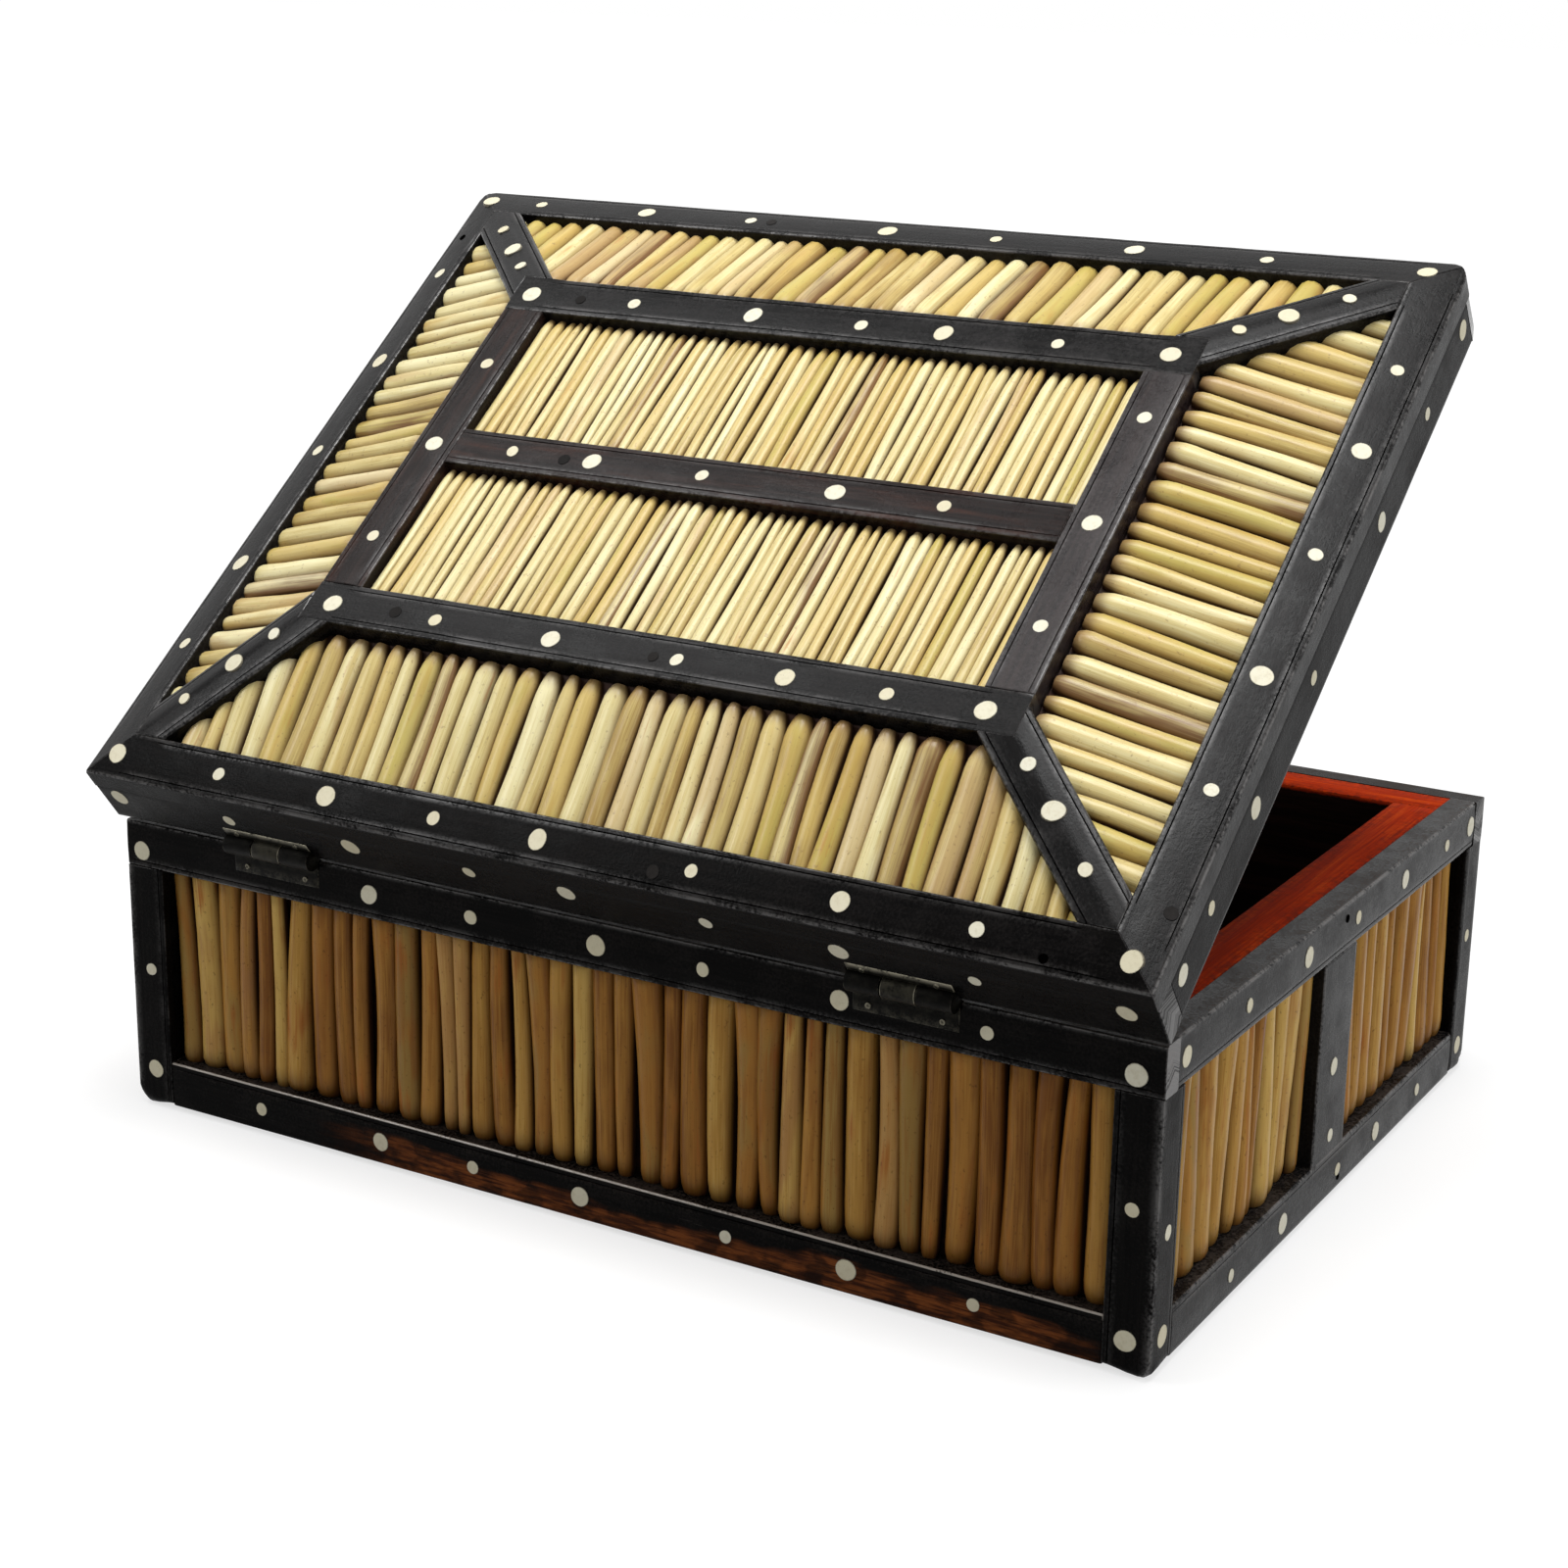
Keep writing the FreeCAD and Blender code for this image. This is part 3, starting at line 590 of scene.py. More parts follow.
@dataclass(frozen=True)
class QuillFinish:
    """Polished quill: horn colours that vary from one to the next. Its ends are darker, partly its own dark
    tips and partly painted shade; its rounded sides and the seams between quills carry painted shade.
    """

    name: str
    tones: tuple[tuple[float, Colour], ...]
    ochre: Colour
    stain: Colour
    stain_low: float
    stain_high: float
    olive: Colour
    rosy: Colour
    # Dark colour of the quills' own tips and specks, also used for painted shade on their rounded sides and
    # towards their ends.
    tip: Colour
    # Painted shade in the seams between quills.
    crevice: Colour
    brown: Colour
    amber: Colour
    specular: float

    def build(self) -> Material:
        """Make the material."""
        bench = Finisher(self.name)
        grain = bench.attribute("grain")
        tone = bench.level("tone")
        hue = bench.level("hue")
        ends = bench.level("ends")
        crown = bench.level("crown")
        browned = bench.level("browned")
        streak = bench.grain(bench.stretch(grain, (0.04, 1.7, 1.0)), 1.0, 4.0, 0.6)
        fine = bench.grain(bench.stretch(grain, (0.10, 5.5, 1.0)), 1.0, 2.0, 0.5)
        cloud = bench.grain(bench.stretch(grain, (0.06, 0.25, 1.0)), 1.0, 2.0, 0.5)
        speck = bench.grain(bench.stretch(grain, (0.9, 1.3, 1.0)), 1.0, 3.0, 0.65)
        amber = bench.grain(bench.stretch(grain, (0.035, 0.55, 1.0)), 1.0, 3.0, 0.55)
        pale = tone + (streak - 0.5) * 0.9 + (cloud - 0.5) * 0.9 + (fine - 0.5) * 0.5
        colour = bench.ramp(bench.clamp(pale), self.tones)
        colour = bench.blend(bench.step(hue + (cloud - 0.5) * 0.8, 0.55, 0.85) * 0.62, colour, self.ochre)
        colour = bench.blend(bench.step(hue + (cloud - 0.5) * 0.5, 0.84, 0.96) * 0.6, colour, self.olive)
        colour = bench.blend((1.0 - bench.step(hue + (cloud - 0.5) * 0.4, 0.03, 0.14)) * 0.5,
                             colour, self.rosy)
        colour = bench.blend(bench.step(cloud + (streak - 0.5) * 0.5, self.stain_low, self.stain_high) * 0.85,
                             colour, self.stain)
        colour = bench.blend(bench.step(amber + (fine - 0.5) * 0.3 + (hue - 0.5) * 0.24, 0.58, 0.72) * 0.5,
                             colour, self.amber)
        brownish = browned * bench.step(streak * 0.6 + cloud * 0.6 + (1.0 - crown) * 0.5, 0.45, 0.85)
        colour = bench.blend(brownish * 0.9, colour, self.brown)
        colour = bench.blend(bench.step(speck, 0.60, 0.72) * 0.5, colour, self.tip)
        # Darker towards the quill ends: partly their own dark tips, partly painted shade where they meet the
        # rails.
        colour = bench.blend(bench.step(ends + (streak - 0.5) * 0.5, 0.15, 1.1) * 0.85, colour, self.tip)
        # Painted shade: darker on each quill's rounded sides, and darkest in the seams between quills.
        seam = bench.step(1.0 - crown + (fine - 0.5) * 0.15, 0.36, 0.88)
        colour = bench.blend(bench.step(1.0 - crown, 0.08, 0.65) * 0.5, colour, self.tip)
        colour = bench.blend(seam, colour, self.crevice)
        height = streak * 0.7 + fine * 0.45 + cloud * 0.6
        rough = bench.clamp(0.20 + fine * 0.14 + cloud * 0.08 + seam * 0.4)
        return bench.finish(colour, rough, bench.bump(height, 0.45, 0.1), Specular_IOR_Level=self.specular)


@dataclass(frozen=True)
class InlayFinish:
    """Round inlay with a dark joint about it: creamy mottled bone with brown in its pores."""

    name: str = "bone"
    pale: Colour = (0.81, 0.78, 0.63)
    deep: Colour = (0.70, 0.64, 0.45)
    mottled: Colour = (0.60, 0.54, 0.36)
    dirt: Colour = (0.28, 0.20, 0.12)
    joint: Colour = (0.07, 0.055, 0.038)
    specular: float = 0.25

    def build(self) -> Material:
        """Make the material."""
        bench = Finisher(self.name)
        here = bench.place()
        tone = bench.level("tone")
        mottle = bench.grain(here, 0.9, 3.0, 0.6)
        pores = bench.grain(here, 4.0, 2.0, 0.6)
        edge = bench.level("edge")
        colour = bench.blend(tone, self.pale, self.deep)
        colour = bench.blend(bench.step(mottle, 0.45, 0.75) * 0.5, colour, self.mottled)
        colour = bench.blend(bench.step(pores, 0.66, 0.74) * 0.5, colour, self.dirt)
        rim = bench.step(edge + (pores - 0.5) * 0.14, 0.84, 0.98)
        colour = bench.blend(rim * 0.9, colour, self.joint)
        normal = bench.bump(mottle + pores * 0.4, 0.3, 0.08)
        return bench.finish(colour, 0.36 + mottle * 0.16, normal, Specular_IOR_Level=self.specular)


@dataclass(frozen=True)
class RimFinish:
    """Red-stained hardwood on the rim, worn at its edges, and a blackened inside below it."""

    name: str = "red_wood"
    inside_from: float = 66.6

    def build(self) -> Material:
        """Make the material."""
        bench = Finisher(self.name)
        grain = bench.attribute("grain")
        edge = bench.level("edge")
        height = bench.parts(bench.place())[2]
        lines = bench.grain(bench.stretch(grain, (0.05, 1.6, 1.0)), 1.0, 5.0, 0.65)
        broad = bench.grain(bench.stretch(grain, (0.02, 0.3, 1.0)), 1.0, 3.0, 0.6)
        scuff = bench.grain(grain, 0.7, 4.0, 0.65)
        colour = bench.ramp(lines * 0.6 + broad * 0.4,
                            ((0.3, (0.12, 0.007, 0.002)), (0.5, (0.43, 0.030, 0.004)),
                             (0.7, (0.67, 0.085, 0.010))))
        colour = bench.blend(bench.step(scuff, 0.60, 0.72) * 0.6, colour, (0.17, 0.016, 0.006))
        colour = bench.blend(edge * bench.step(scuff, 0.4, 0.6) * 0.8, colour, (0.05, 0.012, 0.008))
        below = 1.0 - bench.step(height + scuff * 0.8, self.inside_from, self.inside_from + 0.7)
        inside = bench.blend(bench.step(broad, 0.4, 0.7), (0.010, 0.006, 0.005), (0.030, 0.012, 0.009))
        colour = bench.blend(below, colour, inside)
        rough = bench.clamp(0.56 + lines * 0.2 + below * 0.15)
        normal = bench.bump(lines + scuff * 0.6, 0.5, 0.15)
        return bench.finish(colour, rough, normal, Specular_IOR_Level=0.015)


@dataclass(frozen=True)
class BoardFinish:
    """Plain boards inside: a stained softwood seen in the gaps, or the blackened lining."""

    name: str
    dark: Colour
    light: Colour

    def build(self) -> Material:
        """Make the material."""
        bench = Finisher(self.name)
        here = bench.place()
        lines = bench.grain(bench.stretch(here, (0.02, 0.7, 0.7)), 1.0, 5.0, 0.6)
        dust = bench.grain(here, 0.35, 4.0, 0.65)
        colour = bench.blend(bench.step(lines + dust * 0.3, 0.4, 0.9), self.dark, self.light)
        rough = bench.clamp(0.55 + dust * 0.3)
        return bench.finish(colour, rough, bench.bump(lines + dust * 0.5, 0.4, 0.15),
                            Specular_IOR_Level=0.25)


@dataclass(frozen=True)
class BrassFinish:
    """Old brass, browned all over and rubbed bright along its edges."""

    name: str = "aged_brass"
    dark: Colour = (0.0026, 0.0024, 0.0018)
    light: Colour = (0.0125, 0.0115, 0.0080)
    shine: float = 0.75
    rub_low: float = 0.42

    def build(self) -> Material:
        """Make the material."""
        bench = Finisher(self.name)
        here = bench.place()
        edge = bench.level("edge")
        patch = bench.grain(here, 0.45, 4.0, 0.65)
        fine = bench.grain(here, 2.2, 3.0, 0.6)
        colour = bench.blend(bench.step(patch, 0.4, 0.7), self.dark, self.light)
        bright = bench.clamp(edge * bench.step(fine * 0.6 + patch * 0.6, self.rub_low, self.rub_low + 0.22))
        colour = bench.blend(bright * self.shine, colour, (0.26, 0.24, 0.18))
        rough = bench.clamp(0.5 - bright * 0.22 + fine * 0.1)
        return bench.finish(colour, rough, bench.bump(patch + fine * 0.5, 0.25, 0.08), Metallic=0.95)


# Carpentry: mitred lengths of moulding


@dataclass
class Cut:
    """A flat saw cut: a point on it and the way that it faces."""

    point: Vector
    facing: Vector

    def reach(self, start: Vector, along: Vector) -> float:
        """How far a line runs before it meets the cut."""
        return (self.point - start).dot(self.facing) / along.dot(self.facing)


@dataclass
class Length:
    """A length of wood with one section, cut at both ends, with the slight waves of hand work.

    The section is drawn on two axes: p runs across the face and q outwards, with 0 at the face.

    Attributes:
        section: Place across, place outwards and how much of an arris each point is.
        middle: Where the section's origin stands.
        head: Cuts at the lower end.
        tail: Cuts at the higher end.
        wave: How far the face sways.
        pace: Distance from one ring of points to the next.
        seam: How far the ends are eased at a joint.
        extra: Further rings, by their distance from each end.
        notches: Stretches that leave room for a hinge's barrel.
        bare: Section near the ends, where it differs.
        bare_reach: How far from the ends that runs.
        dusty: True if dust has settled on the ledges.
    """

    name: str
    section: Section
    middle: Vector
    along: Vector
    out: Vector
    head: Sequence[Cut]
    tail: Sequence[Cut]
    wave: float = 0.12
    pace: float = 4.0
    seam: float = 0.22
    extra: Sequence[float] = ()
    notches: Sequence[tuple[float, float]] = ()
    bare: Section = ()
    bare_reach: float = 4.0
    dusty: bool = False

    def dust(self, across: Vector) -> list[float]:
        """How far each point of the section lies on a ledge that looks upwards.

        Args:
            across: Unit vector of p.

        Returns:
            From 0 to 1 for each point.
        """
        count = len(self.section)
        found = []
        for k in range(count):
            (p0, q0, _), (p1, q1, _) = self.section[k - 1], self.section[(k + 1) % count]
            facing = across * (q0 - q1) + self.out * (p1 - p0)
            level = facing.normalized().z if facing.length > 0 else 0.0
            found.append(max(0.0, level) if self.dusty else 0.0)
        return found

    def around(self) -> list[float]:
        """How far round the section each point is.

        Returns:
            Distances from the section's first point.
        """
        found = [0.0]
        for (p0, q0, _), (p1, q1, _) in zip(self.section, self.section[1:]):
            found.append(found[-1] + math.hypot(p1 - p0, q1 - q0))
        return found

    def rings(self, low: float, span: float) -> list[tuple[float, float, float]]:
        """Where the rings of points stand.

        Args:
            low: Place of the lower end.
            span: Distance from there to the higher end.

        Returns:
            For each ring its share of the span, its shift from there, and 1 where an end is eased.
        """
        inner = max(2, int(span / self.pace))
        eased = self.seam * 1.4
        found = [(0.0, 0.0, 1.0), (0.0, eased, 0.0)]
        found += [(0.0, step, 0.0) for step in self.extra]
        found += [(k / inner, 0.0, 0.0) for k in range(1, inner)]
        found += [(1.0, -step, 0.0) for step in reversed(self.extra)]
        found += [(1.0, -eased, 0.0), (1.0, 0.0, 1.0)]
        for start, end in self.notches:
            found = [ring for ring in found if all(
                not edge - 1.0 < low + span * ring[0] + ring[1] < edge + 1.0 for edge in (start, end))]
            found += [((edge - low) / span, 0.0, 0.0) for edge in (start - 0.05, start, end, end + 0.05)]
        return sorted(found, key=lambda ring: span * ring[0] + ring[1])

    def point(self, spot: tuple[float, float, float], place: float, drop: float, seed: float) -> Vector:
        """A point of the surface, with the sway of the face and the wear of the arrises.

        Args:
            spot: The section's point.
            place: How far along the point stands.
            drop: 1 where an end is eased, 0 elsewhere.
            seed: A number that sets this length apart.

        Returns:
            The point, in millimetres.
        """
        p, q, arris = spot
        across = self.along.cross(self.out).normalized()
        point = self.middle + across * p + self.out * q + self.along * place
        sway = noise.noise(Vector((place / 22.0, seed, 0.0))) * self.wave
        chip = noise.noise(Vector((place / 2.6, seed + p * 3.0, q))) * 0.09 * arris
        top = 1.0 if q > -self.seam * 8 else 0.0
        point += across * sway * 0.6 + self.out * ((sway - self.wave) * 0.5 * top - abs(chip))
        point -= self.out * (drop * self.seam * top)
        if any(start - 0.01 < place < end + 0.01 for start, end in self.notches):
            point = clear_of_barrel(point)
        return point

    def mesh(self) -> Mesh:
        """Sweep the section between the cuts.

        Returns:
            A closed mesh in metres, with its grain and its arrises as attributes.
        """
        across = self.along.cross(self.out).normalized()
        lines = [self.middle + across * p + self.out * q for p, q, _ in self.section]
        lows = [min(cut.reach(line, self.along) for cut in self.head) for line in lines]
        highs = [min(cut.reach(line, self.along) for cut in self.tail) for line in lines]
        rings = self.rings(min(lows), max(highs) - min(lows))
        seed = float(sum(ord(letter) for letter in self.name) % 97)
        around = self.around()
        points, grain, edges = [], [], []
        for share, shift, drop in rings:
            for k, (low, high) in enumerate(zip(lows, highs)):
                place = low + (high - low) * share + shift
                near_end = bool(self.bare) and min(place - low, high - place) < self.bare_reach
                spot = self.bare[k] if near_end else self.section[k]
                points.append(self.point(spot, place, drop, seed) * MM)
                grain.append((place, around[k], seed))
                edges.append(max(spot[2], drop))
        count, last = len(self.section), (len(rings) - 1) * len(self.section)
        faces = [(ring + k, ring + (k + 1) % count, ring + count + (k + 1) % count, ring + count + k)
                 for ring in range(0, last, count) for k in range(count)]
        faces.append(tuple(range(count - 1, -1, -1)))
        faces.append(tuple(last + k for k in range(count)))
        mesh = bpy.data.meshes.new(self.name)
        mesh.from_pydata(points, [], faces)
        carry(mesh, "grain", "FLOAT_VECTOR", [value for triple in grain for value in triple])
        carry(mesh, "edge", "FLOAT", edges)
        carry(mesh, "dust", "FLOAT", self.dust(across) * len(rings))
        face_outwards(mesh)
        smooth(mesh)
        return mesh


def clear_of_barrel(point: Vector, radius: float = 2.75) -> Vector:
    """Move a point out of the room that the hinge barrels need.

    Args:
        point: A point of a member, closed, in millimetres.
        radius: Radius of the room.

    Returns:
        The point, or its nearest place on the room's wall.
    """
    away = Vector((0.0, point.y - LID.axis_y, point.z - LID.base))
    if 0.0 < away.length < radius:
        return Vector((point.x, LID.axis_y, LID.base)) + away.normalized() * radius
    return point


def carry(mesh: Mesh, name: str, kind: str, values: Sequence[float]) -> None:
    """Store a value for each vertex under a name."""
    layer = mesh.attributes.new(name, kind, "POINT")
    layer.data.foreach_set("vector" if kind == "FLOAT_VECTOR" else "value", values)


def face_outwards(mesh: Mesh) -> None:
    """Turn a closed mesh's faces so that they all face outwards.

    Args:
        mesh: The mesh, whose faces agree with one another.
    """
    volume = 0.0
    for polygon in mesh.polygons:
        corners = [mesh.vertices[i].co for i in polygon.vertices]
        for first, second in zip(corners[1:], corners[2:]):
            volume += corners[0].dot(first.cross(second))
    if volume < 0.0:
        mesh.flip_normals()


def smooth(mesh: Mesh, angle: float = 34.0) -> None:
    """Shade a mesh smooth but for its sharp corners."""
    mesh.shade_smooth()
    mesh.set_sharp_from_angle(angle=math.radians(angle))


@dataclass(frozen=True)
class Moulding:
    """The section of a length of ebony: worn arrises, a scribed line near each, a slight crown.

    The first of each pair is for the low side of p and the second for the high side.
    """

    width: float
    depth: float
    arris: tuple[float, float] = (0.4, 0.4)
    lines: tuple[bool, bool] = (True, True)
    line_in: float = 1.35
    line_wide: float = 0.3
    line_deep: float = 0.3
    crown: float = 0.1

    def section(self) -> Section:
        """The section's points.

        Returns:
            Place across, place outwards and how much of an arris each point is.
        """
        half, low = self.width / 2, -self.crown
        halves = []
        for end, sign in enumerate((-1, 1)):
            radius = self.arris[end]
            side = [(half, -self.depth, 0.0), (half, low - radius - 0.5, 0.0), (half, low - radius, 0.3)]
            for turn in (22.5, 45.0, 67.5, 90.0):
                angle = math.radians(turn)
                side.append((half - radius + radius * math.cos(angle),
                             low - radius + radius * math.sin(angle),
                             0.0 if radius < 0.1 else 1.0 if turn < 80 else 0.4))
            deep = self.line_deep if self.lines[end] else 0.0
            inset = half - max(self.line_in, radius + self.line_wide)
            side.append((inset + self.line_wide / 2, low, 0.2 if deep else 0.0))
            side.append((inset, low - deep, 0.0))
            side.append((inset - self.line_wide / 2, low, 0.45 if deep else 0.0))
            for share in (0.66, 0.33):
                side.append((inset * share, low + self.crown * (1.0 - share * share), 0.0))
            side = [(sign * p, q, worn) for p, q, worn in side]
            halves += side if sign < 0 else [(0.0, 0.0, 0.0)] + side[::-1]
        return halves

    def bare(self, outer: tuple[bool, bool] = (False, False)) -> Section:
        """The same section with no scribed lines, and with square arrises on the sides named."""
        arris = tuple(0.06 if square else radius for square, radius in zip(outer, self.arris))
        return replace(self, lines=(False, False), arris=arris).section()


def plain_section(width: float, depth: float, arris: float = 0.6) -> Section:
    """Section of a plain board with two soft arrises.

    Args:
        width: Width across the face.
        depth: Depth behind the face.
        arris: Radius of the two outer corners.

    Returns:
        Place across, place outwards and how much of an arris each point is.
    """
    half = width / 2
    side = [(half, -depth, 0.0), (half, -arris * 2, 0.0), (half, -arris, 0.5)]
    side += [(half - arris * 0.3, -arris * 0.3, 1.0), (half - arris, 0.0, 0.6)]
    return [(-p, q, a) for p, q, a in side] + [(0.0, 0.0, 0.0)] + side[::-1]


def cut_at(x: float | None = None, y: float | None = None, z: float | None = None) -> Cut:
    """A cut square to one axis, at a place on it.

    Args:
        x: The place, if the cut is square to X.
        y: The place, if it is square to Y.
        z: The place, if it is square to Z.

    Returns:
        The cut.
    """
    if x is not None:
        return Cut(Vector((x, 0, 0)), Vector((1, 0, 0)))
    if y is not None:
        return Cut(Vector((0, y, 0)), Vector((0, 1, 0)))
    return Cut(UP * (z or 0.0), UP)


def end_cuts(side: Side, reach: float) -> tuple[Cut, Cut]:
    """The square cuts at both ends of a member that runs along a side."""
    if side.is_long:
        return cut_at(x=-reach), cut_at(x=reach)
    return cut_at(y=-reach), cut_at(y=reach)


@dataclass
class Workshop:
    """Puts finished meshes into the scene on the right body."""

    finishes: dict[str, Material] = field(default_factory=dict)

    def mount(self, mesh: Mesh, body: str, slot: str, finish: str,
              nodes: Sequence[str] = (), turn: Matrix | None = None) -> Object:
        """Make a piece of a mesh and tie it to its body.

        Args:
            mesh: The piece's mesh in metres, named as the piece.
            body: Body that it rides on.
            slot: Material slot of the record; not used.
            finish: Name of its finish.
            nodes: CAD nodes that it stands for.
            turn: Turn that puts it in its place.

        Returns:
            The piece.
        """
        if turn is not None:
            mesh.transform(turn)
        mesh.materials.clear()
        mesh.materials.append(self.finishes[finish])
        piece = bpy.data.objects.new(mesh.name, mesh)
        bpy.context.scene.collection.objects.link(piece)
        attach(piece, body)
        if nodes:
            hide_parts(*nodes)
        log.info("%s: %d faces on %s", piece.name, len(mesh.polygons), body)
        return piece

    def dress(self, node: str, finish: str) -> None:
        """Give a CAD node a better finish.

        Args:
            node: The node.
            finish: Name of the finish.
        """
        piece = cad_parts[node]
        for holder in piece.material_slots:
            holder.material = self.finishes[finish]
        log.info("%s: dressed in %s", node, finish)


# Repeated work by geometry nodes


class NodeRecipe(Bench):
    """A geometry node tree with named inputs."""

    def __init__(self, name: str, inputs: dict[str, str], takes_mesh: bool) -> None:
        """Start the tree.

        Args:
            name: The tree's name.
            inputs: Kind of each input, by its name.
            takes_mesh: True if the tree works on the object's own vertices.
        """
        super().__init__(bpy.data.node_groups.new(name, "GeometryNodeTree"))
        sockets = self.tree.interface
        if takes_mesh:
            sockets.new_socket("Geometry", in_out="INPUT", socket_type="NodeSocketGeometry")
        self.named = {
            label: sockets.new_socket(label, in_out="INPUT", socket_type="NodeSocket" + kind).identifier
            for label, kind in (inputs | {"Seed": "Int", "Material": "Material"}).items()}
        sockets.new_socket("Geometry", in_out="OUTPUT", socket_type="NodeSocketGeometry")
        self.start = self.tree.nodes.new("NodeGroupInput")

    def given(self, label: str) -> Wire:
        """One of the tree's inputs."""
        return self.wire(self.start, label)

    def random(self, low: Number, high: Number, shift: int) -> Wire:
        """A number for each item, steady for a seed.

        Args:
            low: Least value.
            high: Greatest value.
            shift: Added to the tree's seed, so that two draws differ.

        Returns:
            The drawn number.
        """
        node = self.add("FunctionNodeRandomValue", {"data_type": "FLOAT"},
                        {2: low, 3: high, "Seed": self.given("Seed") + shift})
        return self.wire(node, 1)

    def keep(self, geometry: Any, name: str, value: Wire, kind: str = "FLOAT") -> Wire:
        """Store a field on the points under a name."""
        node = self.add("GeometryNodeStoreNamedAttribute", {"data_type": kind, "domain": "POINT"},
                        {"Geometry": geometry, "Name": name, "Value": value})
        return self.wire(node, 0)

    def kept(self, name: str, kind: str = "FLOAT") -> Wire:
        """Read a stored field."""
        node = self.add("GeometryNodeInputNamedAttribute", {"data_type": kind}, {"Name": name})
        return self.wire(node, 0)

    def close(self, geometry: Wire) -> None:
        """End the tree with its material and its output."""
        dressed = self.add("GeometryNodeSetMaterial", None,
                           {"Geometry": geometry, "Material": self.given("Material")})
        self.add("NodeGroupOutput", None, {0: dressed.outputs[0]})

    def run(self, name: str, source: Mesh, values: dict[str, Any]) -> Mesh:
        """Run the tree on a mesh and take the result as a plain mesh.

        Args:
            name: Name of the new mesh.
            source: Mesh that the tree starts from.
            values: The tree's inputs, by name.

        Returns:
            The result.
        """
        carrier = bpy.data.objects.new(name + "_carrier", source)
        bpy.context.scene.collection.objects.link(carrier)
        modifier = carrier.modifiers.new("work", "NODES")
        modifier.node_group = self.tree
        for label, value in values.items():
            modifier[self.named[label]] = value
        graph = bpy.context.evaluated_depsgraph_get()
        graph.update()
        mesh = bpy.data.meshes.new_from_object(carrier.evaluated_get(graph))
        mesh.name = name
        carrier.modifiers.remove(modifier)
        bpy.data.objects.remove(carrier)
        return mesh


